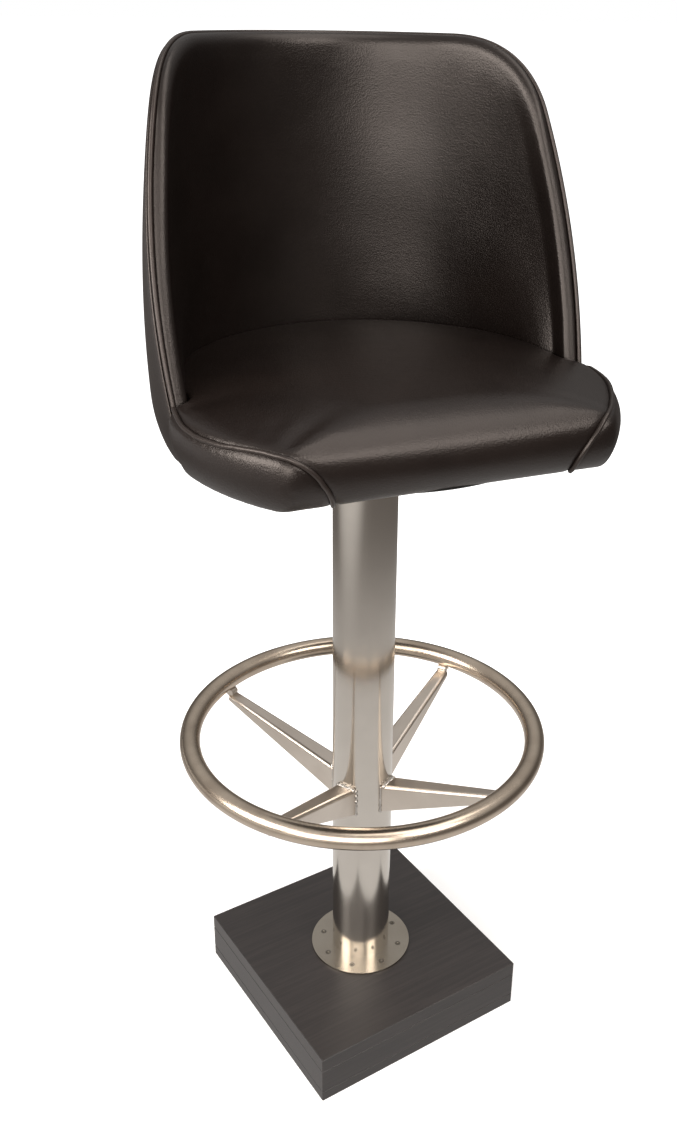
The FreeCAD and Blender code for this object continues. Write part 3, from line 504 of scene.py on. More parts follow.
def rim_height_at(depth):
    """Height of the rim line at a depth y: a leaning front, a round corner and a level top."""
    top = seat_floor + BACK_HEIGHT
    start_z = top - RIM_CORNER * (1 - math.sin(RIM_LEAN))
    start_y = -RIM_FOOT_FORWARD + (start_z - seat_floor) * math.tan(RIM_LEAN)
    end_y = start_y + RIM_CORNER * math.cos(RIM_LEAN)
    if depth >= end_y:
        return top
    if depth <= start_y:
        return seat_floor + (depth + RIM_FOOT_FORWARD) / math.tan(RIM_LEAN)
    return top - RIM_CORNER + math.sqrt(RIM_CORNER ** 2 - (end_y - depth) ** 2)


def rim_line(inset, foot, steps=900, tries=40):
    """Angle and height along the rim on one inset surface, from the right foot over to the left."""
    def on_rim(angle):
        height = seat_floor
        for _ in range(tries):
            radius = tub_radius_at(max(height, foot), inset)
            height = rim_height_at(-TUB_FORWARD + radius * math.sin(angle))
        return height

    foot_y = -RIM_FOOT_FORWARD + (foot - seat_floor) * math.tan(RIM_LEAN)
    foot_angle = math.asin((foot_y + TUB_FORWARD) / tub_radius_at(foot, inset))
    half = []
    for step in range(steps + 1):
        angle = foot_angle + (math.pi / 2 - foot_angle) * step / steps
        half.append((angle, on_rim(angle)))
    half[0] = (foot_angle, foot)
    return half + [(math.pi - angle, height) for angle, height in half[-2::-1]]


def lengths_along(line, measure):
    """How far along a line each of its points lies."""
    lengths = [0.0]
    for before, after in zip(line, line[1:]):
        lengths.append(lengths[-1] + measure(before, after))
    return lengths


def spaced(line, count, measure):
    """A line of points resampled to a count of points at equal steps of length."""
    lengths = lengths_along(line, measure)
    spots = []
    place = 0
    for index in range(count):
        goal = lengths[-1] * index / (count - 1)
        while place < len(lengths) - 2 and lengths[place + 1] < goal:
            place += 1
        share = (goal - lengths[place]) / max(lengths[place + 1] - lengths[place], NO_LENGTH)
        spots.append(tuple(a + (b - a) * share for a, b in zip(line[place], line[place + 1])))
    return spots


def on_wall(before, after):
    """Length of a short step on the tub's side between two pairs of angle and height."""
    radius = tub_radius_at(max(before[1], seat_floor - TUB_BOTTOM), 0.0)
    return math.hypot((after[0] - before[0]) * radius, after[1] - before[1])


RIM_STATIONS = 150
FAN_START = 55 * MM
FAN_STEPS = 60
FAN_LEAD = 0.16
FAN_RISE = 0.12
NEAR_RIM = 26 * MM
NEAR_BOTTOM = 12 * MM
LEVEL_START = 120 * MM
LEVEL_SPAN = 90 * MM
rim_foot = seat_floor - TUB_BOTTOM
rim_stations = spaced(rim_line(0.0, rim_foot), RIM_STATIONS, on_wall)


def fan_lines(bottom):
    """For each rim station, a line on the wall that leaves the rim squarely and runs down to the bottom."""
    first, last = rim_stations[0][0], rim_stations[-1][0]
    lines = []
    for index, (angle, height) in enumerate(rim_stations):
        before = rim_stations[max(index - 1, 0)]
        after = rim_stations[min(index + 1, RIM_STATIONS - 1)]
        radius = tub_radius_at(height, 0.0)
        along = Vector(((after[0] - before[0]) * radius, after[1] - before[1])).normalized()
        inward = Vector((along.y, -along.x))
        share = index / (RIM_STATIONS - 1)
        start_angle = first + FAN_START / radius
        end_angle = last - FAN_START / radius
        foot = Vector((start_angle + (end_angle - start_angle) * share, bottom))
        top = Vector((angle, height))
        span = Vector(((foot.x - top.x) * radius, foot.y - top.y)).length
        lead = Vector((inward.x / radius, inward.y)) * min(span * 0.4, FAN_LEAD)
        rise = Vector((0.0, min(span * 0.35, FAN_RISE)))
        handles = (top, top + lead, foot + rise, foot)
        dense = []
        for step in range(FAN_STEPS + 1):
            t = step / FAN_STEPS
            weights = ((1 - t) ** 3, 3 * t * (1 - t) ** 2, 3 * t * t * (1 - t), t ** 3)
            spot = sum((handle * weight for handle, weight in zip(handles, weights)), Vector((0.0, 0.0)))
            dense.append((spot.x, spot.y))
        lines.append((dense, lengths_along(dense, on_wall), Vector((inward.x / radius, inward.y))))
    return lines


def along_fan(line, reach):
    """Angle and height at a distance from the rim along a fan line, also a little ahead of the rim."""
    dense, lengths, inward = line
    if reach <= 0:
        return dense[0][0] + inward.x * reach, dense[0][1] + inward.y * reach
    place = 0
    while place < len(lengths) - 2 and lengths[place + 1] < reach:
        place += 1
    share = (reach - lengths[place]) / max(lengths[place + 1] - lengths[place], NO_LENGTH)
    one, two = dense[place], dense[place + 1]
    return one[0] + (two[0] - one[0]) * share, one[1] + (two[1] - one[1]) * share


def wrapped_form(profile, top_profile, bottom, soften):
    """A closed band of upholstery that follows the rim. A profile is a closed loop of insets and
    distances: from the rim, from the bottom, or as a share of what lies between. The second
    profile takes over where the rim runs level along the top."""
    lines = fan_lines(bottom)
    rim_top = seat_floor + BACK_HEIGHT
    form = bmesh.new()
    bmesh.ops.create_grid(form, x_segments=RIM_STATIONS - 1, y_segments=len(profile), size=1.0)
    form.verts.ensure_lookup_table()
    ordered = sorted(form.verts, key=lambda vert: (round(vert.co.y, 6), round(vert.co.x, 6)))
    for number, vert in enumerate(ordered):
        row, station = divmod(number, RIM_STATIONS)
        inset, kind, amount = profile[row % len(profile)]
        top_inset, _, top_amount = top_profile[row % len(profile)]
        level = min(max((rim_stations[station][1] - rim_top + LEVEL_START) / LEVEL_SPAN, 0.0), 1.0)
        inset += (top_inset - inset) * level
        amount += (top_amount - amount) * level
        line = lines[station]
        length = line[1][-1]
        reach = {"rim": amount, "bottom": length - amount,
                 "share": NEAR_RIM + (length - NEAR_RIM - NEAR_BOTTOM) * amount}[kind]
        angle, height = along_fan(line, reach)
        inset += soften(angle, height, inset, kind, amount)
        vert.co = tub_point(angle, height, inset)
    bmesh.ops.remove_doubles(form, verts=form.verts, dist=SAME_SPOT)
    open_edges = [edge for edge in form.edges if edge.is_boundary]
    bmesh.ops.holes_fill(form, edges=open_edges, sides=0)
    bmesh.ops.recalc_face_normals(form, faces=form.faces)
    return form


WALL_ROWS = 34
HIDDEN_ROWS = 10
LINING_BACK = 14.5 * MM
SKIN_BACK = 5.5 * MM


def shares(count):
    """Evenly spaced shares between 0 and 1, without either."""
    return [index / (count + 1) for index in range(1, count + 1)]


# Inset and distance behind the rim, in millimetres, round the padded band
SIDE_BAND = ((6.2, 5.0), (6.6, 2.6), (7.5, 0.9), (9.0, -0.3), (11.0, -0.9), (13.5, -1.1), (16.0, -0.9),
             (18.4, -0.3), (20.4, 0.8), (21.8, 2.4), (22.7, 4.8), (23.2, 8.5), (23.6, 13.5), (23.9, 19.5))
TOP_BAND = ((6.2, 5.0), (6.6, 2.6), (7.5, 0.9), (8.8, -0.1), (10.4, -0.6), (12.0, -0.5), (13.6, 0.2),
            (15.3, 1.4), (17.1, 3.2), (18.9, 5.8), (20.4, 9.0), (21.5, 13.0), (22.4, 17.5), (23.2, 21.8))


def lining_profile(band):
    """Loop round the padded band at the rim, down the inside and back up against the shell."""
    loop = [(inset * MM, "rim", distance * MM) for inset, distance in band]
    loop.append((BACK_WALL, "rim", NEAR_RIM))
    loop += [(BACK_WALL, "share", share) for share in shares(WALL_ROWS)]
    loop += [(BACK_WALL, "bottom", NEAR_BOTTOM), (BACK_WALL - 1.5 * MM, "bottom", 3 * MM),
             (BACK_WALL - 4 * MM, "bottom", 0.0), (LINING_BACK + 1 * MM, "bottom", 1 * MM),
             (LINING_BACK, "bottom", NEAR_BOTTOM)]
    loop += [(LINING_BACK, "share", share) for share in reversed(shares(HIDDEN_ROWS))]
    loop += [(LINING_BACK, "rim", NEAR_RIM), (13.5 * MM, "rim", 13 * MM), (10 * MM, "rim", 9.5 * MM),
             (7 * MM, "rim", 8 * MM)]
    return loop


def cover_profile():
    """Loop up the outside of the tub to the piping's groove, and back down inside the skin."""
    loop = [(3.9 * MM, "rim", 6.0 * MM), (3.7 * MM, "rim", 3.6 * MM), (3.0 * MM, "rim", 1.9 * MM),
            (1.9 * MM, "rim", 1.2 * MM), (0.8 * MM, "rim", 1.9 * MM), (0.2 * MM, "rim", 4.2 * MM),
            (0.0, "rim", 8 * MM), (0.0, "rim", 15 * MM), (0.0, "rim", NEAR_RIM)]
    loop += [(0.0, "share", share) for share in shares(WALL_ROWS)]
    loop += [(0.0, "bottom", NEAR_BOTTOM), (0.3 * MM, "bottom", 4.0 * MM), (1.6 * MM, "bottom", 1.2 * MM),
             (4.0 * MM, "bottom", 0.1 * MM), (9 * MM, "bottom", 0.0), (20 * MM, "bottom", 0.0),
             (20 * MM, "bottom", 2 * MM), (6.0 * MM, "bottom", 3.2 * MM), (SKIN_BACK, "bottom", NEAR_BOTTOM)]
    loop += [(SKIN_BACK, "share", share) for share in reversed(shares(HIDDEN_ROWS))]
    loop += [(SKIN_BACK, "rim", NEAR_RIM), (5.2 * MM, "rim", 12 * MM), (4.6 * MM, "rim", 8.5 * MM)]
    return loop


def lining_softness(angle, height, inset, kind, amount):
    """Padding that is fullest above its middle, with slow swells, and a slight wave along the band."""
    spot = Vector((math.cos(angle) * 2.2, math.sin(angle) * 2.2, height * 9.0))
    if kind == "share" and inset == BACK_WALL:
        fade = min(amount * 5, (1 - amount) * 5, 1.0)
        return noise.noise(spot) * 2.2 * MM * fade + PAD_CROWN * math.sin(math.pi * amount ** 0.92)
    return noise.noise(spot * 3.0) * 0.35 * MM


def cover_softness(angle, height, inset, kind, amount):
    """Slow swells of half a millimetre over the outside."""
    spot = Vector((math.cos(angle) * 2.0, math.sin(angle) * 2.0, height * 7.0 + 5.0))
    return noise.noise(spot) * 0.5 * MM


lining_form = wrapped_form(lining_profile(SIDE_BAND), lining_profile(TOP_BAND), seat_floor, lining_softness)
lining = finish_piece(lining_form, "back_lining", back_leather, "seat",
                      ("back_pad",), turned=True)
subdivided(lining)

skin_form = wrapped_form(cover_profile(), cover_profile(), rim_foot, cover_softness)
skin = finish_piece(skin_form, "back_skin", outer_leather, "seat", ("back_cover",),
                    turned=True)
subdivided(skin)

rim_welt_line = [tub_point(angle, height, PIPING_INSET)
                 for angle, height in spaced(rim_line(PIPING_INSET, rim_foot), RIM_WELT_POINTS, on_wall)]
finish_piece(tube_along(rim_welt_line, PIPING_DIAMETER / 2), "rim_welt", piping_leather,
             "seat", ("rim_piping",), turned=True)


# Cushion

def arc_between(start, direction, end, count):
    """Points of the arc that leaves its start along a direction and ends at a point, in a plane."""
    chord = end - start
    normal = (chord - direction * chord.dot(direction)).normalized()
    radius = chord.dot(chord) / (2 * chord.dot(normal))
    centre = start + normal * radius
    sweep = 2 * math.asin(min(chord.length / (2 * radius), 1.0))
    spots = []
    for index in range(1, count + 1):
        angle = sweep * index / count
        spots.append(centre - normal * radius * math.cos(angle) + direction * radius * math.sin(angle))
    return spots


def arrival(start, direction, end):
    """The direction in which such an arc reaches its end."""
    chord = (end - start).normalized()
    return chord * (2 * chord.dot(direction)) - direction


def cushion_profile(slack):
    """Radii and heights from the middle of the crown to the middle of the underside."""
    def spot(radius, height):
        return Vector((radius, seat_floor + height))

    foot = spot(CUSHION_FOOT, 0.0)
    widest = spot(CUSHION_HALF_WIDTH, CUSHION_WIDEST)
    seam = spot(SEAM_RADIUS, SEAM_HEIGHT)
    shoulder = spot(CUSHION_SHOULDER, CUSHION_SHOULDER_HEIGHT - slack)
    crown = spot(0.0, CUSHION_HEIGHT - slack)
    outward = Vector((1.0, 0.0))
    line = [crown] + arc_between(crown, outward, shoulder, 26)
    line += arc_between(shoulder, arrival(crown, outward, shoulder), seam, 7)
    line += arc_between(widest, Vector((0.0, 1.0)), seam, 6)[-2::-1] + [widest]
    line += arc_between(widest, Vector((0.0, -1.0)), foot, 5)
    line.append(Vector((0.0, seat_floor)))
    return line


def front_at(height):
    """How far forward the rolled front reaches at a height."""
    foremost = Vector((-CUSHION_FRONT, seat_floor + CUSHION_WIDEST))
    if height > foremost.y:
        other = Vector((-CUSHION_FRONT + CUSHION_FRONT_ROLL, seat_floor + CUSHION_FRONT_HEIGHT))
    else:
        other = Vector((-CUSHION_FRONT + CUSHION_FRONT_TUCK, seat_floor))
    radius = (other - foremost).length_squared / (2 * (other.x - foremost.x))
    return foremost.x + radius - math.sqrt(max(radius ** 2 - (height - foremost.y) ** 2, 0.0))


def cushion_blank(slack):
    """The turned, drawn-out disc with its front rolled back."""
    blank = turned_form(cushion_profile(slack), steps=140)
    bmesh.ops.scale(blank, vec=(1.0, CUSHION_HALF_DEPTH / CUSHION_HALF_WIDTH, 1.0), verts=blank.verts)
    bmesh.ops.translate(blank, vec=(0.0, -CUSHION_FORWARD, 0.0), verts=blank.verts)
    for vert in blank.verts:
        vert.co.y = max(vert.co.y, front_at(vert.co.z))
    return blank


def tub_cutter(gap):
    """The space of the tub's wall, in front of which the cushion ends."""
    lowest = seat_floor - CUTTER_BELOW
    heights = [lowest + CUTTER_STEP * step for step in range(12)]
    inner = [Vector((tub_radius_at(max(height, rim_foot), BACK_WALL + gap), 0.0, height))
             for height in heights]
    outer = [Vector((TUB_RADIUS + CUTTER_BEYOND, 0.0, height)) for height in (heights[-1], lowest)]
    cutter = bmesh.new()
    loop = [cutter.verts.new(spot) for spot in inner + outer]
    face = cutter.faces.new(loop)
    bmesh.ops.spin(cutter, geom=[face], cent=(0, 0, 0), axis=(0, 0, 1), angle=math.tau, steps=120,
                   use_merge=True)
    inside = [face for face in cutter.faces if len(face.verts) > 4]
    bmesh.ops.delete(cutter, geom=inside, context="FACES_ONLY")
    bmesh.ops.remove_doubles(cutter, verts=cutter.verts, dist=SAME_SPOT)
    bmesh.ops.translate(cutter, vec=(0.0, -TUB_FORWARD, 0.0), verts=cutter.verts)
    ahead = PIPING_DIAMETER / 2 + gap
    point = Vector((0.0, -RIM_FOOT_FORWARD - ahead / math.cos(RIM_LEAN), seat_floor))
    normal = Vector((0.0, -math.cos(RIM_LEAN), math.sin(RIM_LEAN)))
    cut = bmesh.ops.bisect_plane(cutter, geom=cutter.verts[:] + cutter.edges[:] + cutter.faces[:],
                                 plane_co=point, plane_no=normal, clear_outer=True)
    rims = [item for item in cut["geom_cut"] if isinstance(item, bmesh.types.BMEdge)]
    bmesh.ops.holes_fill(cutter, edges=rims, sides=0)
    bmesh.ops.recalc_face_normals(cutter, faces=cutter.faces)
    return cutter


def loose_object(source, name):
    """A helper object from a bmesh, for modifiers to work on."""
    mesh = bpy.data.meshes.new(name)
    source.to_mesh(mesh)
    source.free()
    made = bpy.data.objects.new(name, mesh)
    bpy.context.scene.collection.objects.link(made)
    return made


def swell(piece, held):
    """Puffs a closed form as stuffing does under leather. Held points stay, others move up to a limit."""
    start = [vert.co.copy() for vert in piece.data.vertices]
    pins = piece.vertex_groups.new(name="held")
    for vert in piece.data.vertices:
        weight = held(vert.co)
        if weight > 0:
            pins.add([vert.index], weight, "REPLACE")
    cloth = piece.modifiers.new("Cloth", "CLOTH")
    settings = cloth.settings
    settings.use_pressure = True
    settings.uniform_pressure_force = PUFF_PRESSURE
    settings.vertex_group_mass = "held"
    settings.effector_weights.gravity = 0
    settings.quality = 6
    settings.tension_stiffness = 12
    settings.compression_stiffness = 12
    settings.shear_stiffness = 4
    settings.bending_stiffness = 12
    settings.air_damping = 4.0
    cloth.point_cache.frame_start = 1
    cloth.point_cache.frame_end = PUFF_FRAMES
    for number in range(1, PUFF_FRAMES + 1):
        bpy.context.scene.frame_set(number)
    apply_modifiers(piece)
    bpy.context.scene.frame_set(1)
    for vert, before in zip(piece.data.vertices, start):
        step = vert.co - before
        if step.length > PUFF_LIMIT:
            vert.co = before + step * (PUFF_LIMIT / step.length)
    piece.vertex_groups.clear()


def boxing_point(side, turn, height):
    """A point of the cushion's side or rolled front, at degrees forward and a height in millimetres."""
    height = height * MM
    if height > CUSHION_WIDEST:
        share = (height - CUSHION_WIDEST) / (SEAM_HEIGHT - CUSHION_WIDEST)
        radius = CUSHION_HALF_WIDTH - (CUSHION_HALF_WIDTH - SEAM_RADIUS) * share ** 2
    else:
        share = 1 - height / CUSHION_WIDEST
        radius = CUSHION_HALF_WIDTH - (CUSHION_HALF_WIDTH - CUSHION_FOOT) * share ** 2
    turn = math.radians(turn)
    depth = -CUSHION_FORWARD - radius * CUSHION_HALF_DEPTH / CUSHION_HALF_WIDTH * math.sin(turn)
    return Vector((side * radius * math.cos(turn), max(depth, front_at(seat_floor + height)),
                   seat_floor + height))


def smooth_path(points, count):
    """Evenly spaced points of a smooth curve through the given ones."""
    curve = bpy.data.curves.new("path", "CURVE")
    curve.dimensions = "3D"
    curve.resolution_u = 24
    line = curve.splines.new("BEZIER")
    line.bezier_points.add(len(points) - 1)
    for place, point in zip(line.bezier_points, points):
        place.co = point
        place.handle_left_type = place.handle_right_type = "AUTO"
    holder = bpy.data.objects.new("path", curve)
    mesh = bpy.data.meshes.new_from_object(holder)
    path = [tuple(vert.co) for vert in mesh.vertices]
    bpy.data.objects.remove(holder)
    bpy.data.curves.remove(curve)
    bpy.data.meshes.remove(mesh)
    return [Vector(spot) for spot in
            spaced(path, count, lambda one, two: (Vector(two) - Vector(one)).length)]


def seam_path(side, table):
    """A seam of the cushion, on the side of +X or -X."""
    return smooth_path([boxing_point(side, turn, height) for turn, height in table], SEAM_POINTS)


def nearest_on(tree, point):
    """The nearest point of a surface, with the surface's direction there."""
    spot, normal, _, _ = tree.find_nearest(point)
    return spot, normal


def point_tree(lines):
    """A tree that finds how near a place is to the points of some lines."""
    points = [point for line in lines for point in line]
    tree = KDTree(len(points))
    for number, point in enumerate(points):
        tree.insert(point, number)
    tree.balance()
    return tree


def smoothed(shaped, rounds):
    """Evens a mesh out, as leather spans small steps."""
    for _ in range(rounds):
        bmesh.ops.smooth_vert(shaped, verts=shaped.verts, factor=0.5, use_axis_x=True, use_axis_y=True,
                              use_axis_z=True)


def hemmed(shaped):
    """Lets the leather hang a little below the board along the cushion's lower edge."""
    for vert in shaped.verts:
        low = 1 - (vert.co.z - seat_floor) / HEM_RISE
        out = math.hypot(vert.co.x / CUSHION_HALF_WIDTH, (vert.co.y + CUSHION_FORWARD) / CUSHION_HALF_DEPTH)
        out = max(out, -vert.co.y / CUSHION_FRONT)
        edge = min(max((out - HEM_START) / HEM_SPREAD, 0.0), 1.0)
        if low > 0:
            vert.co.z -= CUSHION_HEM * min(low, 1.0) * edge


def make_cushion(seams):
    """The stuffed cushion. Its seams, foot and hidden back stay while the panels between them puff."""
    pad = loose_object(cushion_blank(BLANK_SLACK), "cushion_blank")
    cutter = loose_object(tub_cutter(CUSHION_TO_TUB), "tub_cutter")
    cut = pad.modifiers.new("Cut", "BOOLEAN")
    cut.operation = "DIFFERENCE"
    cut.object = cutter
    cut.solver = "EXACT"
    voxels = pad.modifiers.new("Remesh", "REMESH")
    voxels.mode = "VOXEL"
    voxels.voxel_size = BLANK_MESH
    apply_modifiers(pad)
    bpy.data.objects.remove(cutter)
    seam_tree = point_tree(seams)

    def held(point):
        """1 where the leather is fixed: at the underside, at the seams and behind the tub's wall."""
        if point.z < seat_floor + FIXED_FOOT or seam_tree.find(point)[2] < FIXED_SEAM:
            return 1.0
        reach = math.hypot(point.x, point.y + TUB_FORWARD)
        wall = tub_radius_at(max(point.z, rim_foot), BACK_WALL) - FIXED_AT_WALL
        rim = -RIM_FOOT_FORWARD + (point.z - seat_floor) * math.tan(RIM_LEAN) - FIXED_AT_RIM
        return 1.0 if point.y > rim and reach > wall else 0.0

    shaped = bmesh.new()
    shaped.from_mesh(pad.data)
    hemmed(shaped)
    smoothed(shaped, 4)
    shaped.to_mesh(pad.data)
    shaped.free()
    swell(pad, held)
    shaped = bmesh.new()
    shaped.from_mesh(pad.data)
    bpy.data.objects.remove(pad)
    smoothed(shaped, 3)
    return shaped


def sew(shaped, seams):
    """Draws the leather in along each seam, on a finer mesh."""
    tree = BVHTree.FromBMesh(shaped)
    lines = [[nearest_on(tree, point)[0] for point in seam] for seam in seams]
    seam_tree = point_tree(lines)
    near = [vert for vert in shaped.verts if seam_tree.find(vert.co)[2] < SEAM_REACH]
    edges = {edge for vert in near for edge in vert.link_edges}
    bmesh.ops.subdivide_edges(shaped, edges=list(edges), cuts=1, use_grid_fill=True)
    shaped.normal_update()
    for vert in shaped.verts:
        distance = seam_tree.find(vert.co)[2]
        if distance < SEAM_REACH:
            vert.co -= vert.normal * SEAM_GROOVE * math.exp(-(distance / SEAM_GROOVE_WIDTH) ** 2)
    return lines


seam_guides = [seam_path(1, SEAM_RIGHT), seam_path(-1, SEAM_LEFT)]
cushion_mesh = make_cushion(seam_guides)
seam_lines = sew(cushion_mesh, seam_guides)
cushion_tree = BVHTree.FromBMesh(cushion_mesh)
cushion = finish_piece(cushion_mesh, "cushion", seat_leather, "seat",
                       ("seat_cushion",), turned=True)
subdivided(cushion)

for side, line in zip(("right", "left"), seam_lines):
    welt = []
    for point in line:
        spot, normal = nearest_on(cushion_tree, point)
        welt.append(spot + normal * WELT_PROUD)
    welt_form = tube_along(smooth_path(welt[::4], WELT_POINTS), PIPING_DIAMETER / 2)
    finish_piece(welt_form, "cushion_welt_" + side, piping_leather, "seat",
                 ("cushion_piping_" + side,), turned=True)


# Column and foot ring

COLUMN_WALL = 2 * MM
COLUMN_EASE = 0.5 * MM


def column_form():
    """The column tube with its ends eased."""
    bore = column_radius - COLUMN_WALL
    eased = column_radius - COLUMN_EASE
    profile = [(bore, base_top), (eased, base_top), (column_radius, base_top + COLUMN_EASE),
               (column_radius, column_top - COLUMN_EASE), (eased, column_top), (bore, column_top)]
    return turned_form(profile, steps=160, closed=True)


ring_low, ring_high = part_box("foot_ring")
RING_TUBE = (ring_high.z - ring_low.z) / 2
RING_RADIUS = ring_high.x - RING_TUBE
ring_height = (ring_high.z + ring_low.z) / 2


def ring_form():
    """The foot ring: a circle turned about the column's axis."""
    ring = bmesh.new()
    circle = bmesh.ops.create_circle(ring, cap_ends=False, segments=40, radius=RING_TUBE,
                                     matrix=Matrix.Translation((RING_RADIUS, 0.0, ring_height))
                                     @ Matrix.Rotation(math.pi / 2, 4, "X"))
    edges = list({edge for vert in circle["verts"] for edge in vert.link_edges})
    bmesh.ops.spin(ring, geom=circle["verts"] + edges, cent=(0, 0, 0), axis=(0, 0, 1), angle=math.tau,
                   steps=200, use_merge=True)
    return closed_up(ring)


finish_piece(column_form(), "column", column_steel, "base", ("column_tube",),
             crease_angle=math.radians(30))
finish_piece(ring_form(), "footrest_ring", ring_steel, "base", ("foot_ring",))


# Welds of the folded arms

ARM_TURN = 25
ARM_SIDES = ("right_rear", "left_rear", "left_front", "right_front")
ARM_ROOT_TOP = 345 * MM
ARM_ROOT_DEPTH = 39 * MM
ARM_ROOT_WIDTH = 27.5 * MM
ARM_TIP_WIDTH = 16.5 * MM
ARM_TIP_INSET = 7 * MM
ARM_TIP_DROP = 4 * MM
ROOT_WELD = 3.1 * MM
TIP_WELD = 2.3 * MM
CHEEK_WELD = 1.6 * MM
WELD_STEPS = 40
RIPPLE = 2.6 * MM
RIPPLE_DEPTH = 0.12
LUMP_DEPTH = 0.8
ROUGH_DEPTH = 0.25
WELD_TAPER = 3 * MM


def weld_run(start, end, radius, seed):
    """A ripple of weld metal between two points, uneven as a hand weld is."""
    run = tube_along([start.lerp(end, step / WELD_STEPS) for step in range(WELD_STEPS + 1)], radius, 3)
    along = (end - start).normalized()
    for vert in run.verts:
        reach = (vert.co - start).dot(along)
        core = start + along * reach
        ripple = RIPPLE_DEPTH * math.sin(math.tau * reach / RIPPLE)
        lump = LUMP_DEPTH * noise.noise(Vector((reach * 260.0, seed * 7.3, 0.0)))
        rough = ROUGH_DEPTH * noise.noise(vert.co * 420.0)
        taper = min(1.0, 0.35 + min(reach, (end - start).length - reach) / WELD_TAPER)
        vert.co = core + (vert.co - core) * (1.0 + ripple + lump + rough) * taper
    bmesh.ops.recalc_face_normals(run, faces=run.faces)
    return run


def joined_runs(runs):
    """One bmesh of several."""
    whole = bmesh.new()
    for run in runs:
        mesh = bpy.data.meshes.new("weld_run")
        run.to_mesh(mesh)
        run.free()
        whole.from_mesh(mesh)
        bpy.data.meshes.remove(mesh)
    return whole


def arm_welds(index):
    """The welds of one arm: across its root, across its tip, and down both cheeks at the column."""
    half = ARM_ROOT_WIDTH / 2
    tip_half = ARM_TIP_WIDTH / 2
    root = column_radius + 1.2 * MM
    root_top = ARM_ROOT_TOP + 0.6 * MM
    cheek = math.sqrt(column_radius ** 2 - half ** 2) + 0.6 * MM
    tip = RING_RADIUS - ARM_TIP_INSET + 3 * MM
    tip_top = ring_low.z - ARM_TIP_DROP / 2
    runs = [weld_run(Vector((root, -half, root_top)), Vector((root, half, root_top)), ROOT_WELD, index),
            weld_run(Vector((tip, -tip_half, tip_top)), Vector((tip, tip_half, tip_top)), TIP_WELD,
                     index + 10)]
    for number, edge in enumerate((-half, half)):
        runs.append(weld_run(Vector((cheek, edge, ARM_ROOT_TOP)),
                             Vector((cheek, edge, ARM_ROOT_TOP - ARM_ROOT_DEPTH)), CHEEK_WELD,
                             index + 20 + number * 5))
    welds = joined_runs(runs)
    bmesh.ops.rotate(welds, verts=welds.verts, cent=(0, 0, 0),
                     matrix=Matrix.Rotation(math.radians(ARM_TURN + 90 * index), 3, "Z"))
    return welds


for index, side in enumerate(ARM_SIDES):
    finish_piece(arm_welds(index), "arm_welds_" + side, weld_steel, "base")


# Camera, light and floor

PHOTO_WIDTH = 677
PHOTO_HEIGHT = 1146
CAMERA_PLACE = Vector((-0.68686, -1.06323, 1.25187))
CAMERA_YAW = 0.601
CAMERA_PITCH = 0.4259
CAMERA_ROLL = 0.0227
FOCAL_PIXELS = 1190.72
CENTRE_X = 394.82
CENTRE_Y = 536.71
SENSOR = 36.0
WARM = (1.0, 0.955, 0.905)


def add_camera():
    """The camera that took the photograph, from its place, its three turns and its lens."""
    level = math.cos(CAMERA_PITCH)
    ahead = Vector((math.sin(CAMERA_YAW) * level, math.cos(CAMERA_YAW) * level, -math.sin(CAMERA_PITCH)))
    right = Vector((math.cos(CAMERA_YAW), -math.sin(CAMERA_YAW), 0.0))
    up = right.cross(ahead)
    rolled_right = right * math.cos(CAMERA_ROLL) + up * math.sin(CAMERA_ROLL)
    rolled_up = up * math.cos(CAMERA_ROLL) - right * math.sin(CAMERA_ROLL)
    data = bpy.data.cameras.new("camera")
    data.sensor_width = SENSOR
    data.lens = FOCAL_PIXELS * SENSOR / PHOTO_HEIGHT
    data.shift_x = (PHOTO_WIDTH / 2 - CENTRE_X) / PHOTO_HEIGHT
    data.shift_y = (CENTRE_Y - PHOTO_HEIGHT / 2) / PHOTO_HEIGHT
    camera = bpy.data.objects.new("camera", data)
    turn = Matrix((rolled_right, rolled_up, -ahead)).transposed().to_4x4()
    camera.matrix_world = Matrix.Translation(CAMERA_PLACE) @ turn
    bpy.context.scene.collection.objects.link(camera)
    bpy.context.scene.camera = camera


def add_softbox(name, place, aim, width, height, watts):
    """A large warm lamp at a place, turned to what it lights."""
    data = bpy.data.lights.new(name, "AREA")
    data.shape = "RECTANGLE"
    data.size = width
    data.size_y = height
    data.energy = watts
    data.color = WARM
    lamp = bpy.data.objects.new(name, data)
    lamp.location = place
    lamp.rotation_euler = (Vector(aim) - Vector(place)).to_track_quat("-Z", "Y").to_euler()
    lamp.visible_camera = False
    bpy.context.scene.collection.objects.link(lamp)


def add_world():
    """A pale studio: white to the camera, with a darker horizon for the metal to mirror."""
    world = bpy.data.worlds.new("studio")
    bpy.context.scene.world = world
    world.use_nodes = True
    nodes = Nodes(world.node_tree)
    direction = nodes.add("ShaderNodeTexCoord", out="Generated")
    parts = nodes.add("ShaderNodeSeparateXYZ", None, {"Vector": direction})
    height = Signal(nodes, parts.socket.node.outputs["Z"])
    camera_ray = nodes.add("ShaderNodeLightPath", out="Is Camera Ray")
    sky = nodes.mix(height.between(0.05, 0.75), colour(0.11, 0.10, 0.092), colour(0.62, 0.61, 0.60))
    seen = nodes.mix(camera_ray, sky, colour(1.0, 1.0, 1.0))
    back = nodes.add("ShaderNodeBackground", None, {"Color": seen, "Strength": 1.0})
    nodes.add("ShaderNodeOutputWorld", None, {"Surface": back})


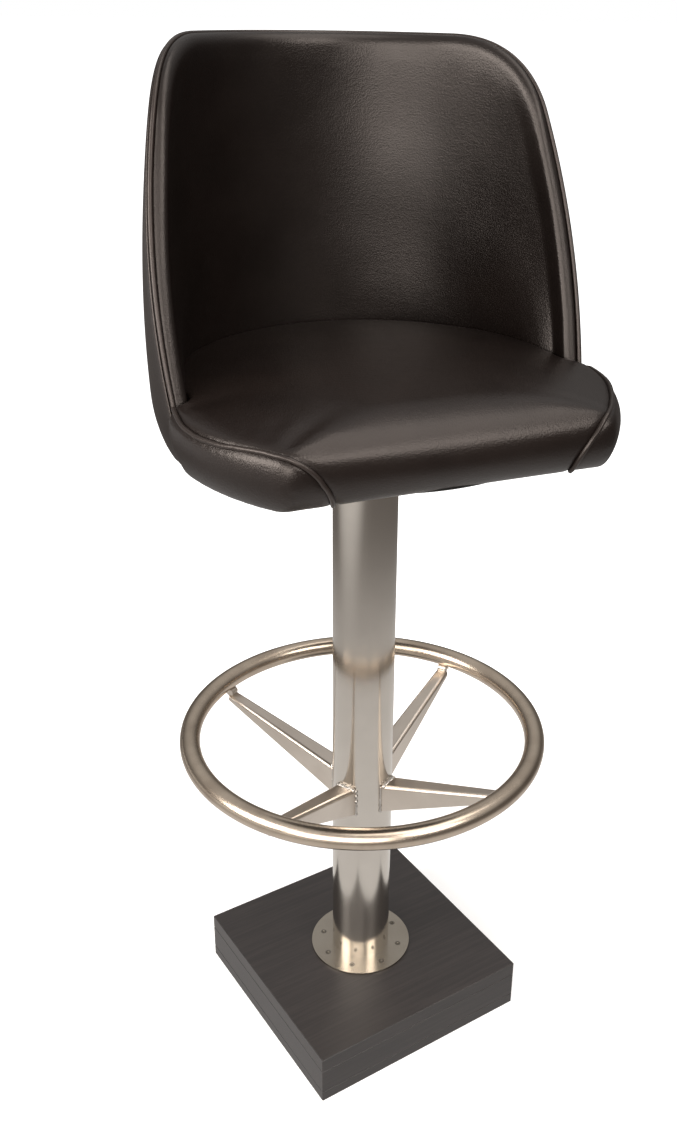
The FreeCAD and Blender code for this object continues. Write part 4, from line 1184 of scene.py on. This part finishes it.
def add_floor():
    """A pale floor that keeps the soft shadow. To the camera it also glows, with painted light that is faint
    near the stool and strong from about a metre out. To bounced light it is grey. Metal and leather see only
    a painted glow that falls off into the studio.
    """
    floor = bmesh.new()
    bmesh.ops.create_grid(floor, x_segments=1, y_segments=1, size=60.0)
    mesh = bpy.data.meshes.new("floor")
    floor.to_mesh(mesh)
    floor.free()
    material, nodes = new_finish("floor_paper")
    point = nodes.place()
    distance = nodes.add("ShaderNodeVectorMath", {"operation": "LENGTH"}, {0: point}, out="Value")
    path = nodes.add("ShaderNodeLightPath", out="Is Camera Ray")
    glossy = Signal(nodes, path.socket.node.outputs["Is Glossy Ray"])
    sides = nodes.add("ShaderNodeSeparateXYZ", None, {"Vector": point})
    across = Signal(nodes, sides.socket.node.outputs["X"])
    # Painted reflection: to glossy rays the floor is only a glow. It is bright within about half a metre of
    # the stool and on the far left, and dim elsewhere further out.
    far = distance.between(0.5, 1.7) * across.between(-1.9, -0.9)
    # Painted light: to the camera the floor glows, faintly near the stool and strongly from about a metre
    # out, whitening the far floor.
    clear = path * distance.between(0.25, 1.1)
    # To the camera the paper is pale. To light bouncing off it, it is grey, so it throws little light back
    # onto the stool.
    paper = nodes.add("ShaderNodeBsdfPrincipled", None, {
        "Base Color": nodes.mix(path, colour(0.34, 0.33, 0.32), colour(0.88, 0.88, 0.88)),
        "Roughness": 0.9, "Specular IOR Level": 0.0,
        "Emission Color": nodes.mix(path * 0.3 + clear * 0.6, colour(0.0, 0.0, 0.0), colour(1.0, 1.0, 1.0)),
        "Emission Strength": 1.0})
    # Painted reflection: the glow that glossy rays see in place of the floor.
    reflected_floor_glow = nodes.add("ShaderNodeEmission", None, {
        "Color": nodes.mix(far, colour(0.80, 0.78, 0.76), colour(0.17, 0.155, 0.145)), "Strength": 1.0})
    shown = nodes.add("ShaderNodeMixShader", None, {0: glossy, 1: paper, 2: reflected_floor_glow})
    nodes.add("ShaderNodeOutputMaterial", None, {"Surface": shown})
    mesh.materials.append(material)
    ground = bpy.data.objects.new("floor", mesh)
    bpy.context.scene.collection.objects.link(ground)


add_camera()
add_world()
add_floor()
add_softbox("left_softbox", (-2.30, 0.20, 1.60), (0.0, 0.0, 0.95), 1.4, 1.4, 62.0)
add_softbox("front_softbox", (-1.70, -1.70, 1.40), (0.0, 0.0, 1.0), 2.4, 1.5, 66.0)
add_softbox("side_softbox", (0.45, -2.35, 2.30), (0.0, 0.0, 1.0), 1.3, 1.2, 30.0)
add_softbox("top_softbox", (0.5, -0.7, 2.9), (0.0, 0.0, 0.6), 1.8, 1.8, 24.0)

bpy.context.scene.view_settings.view_transform = "Standard"
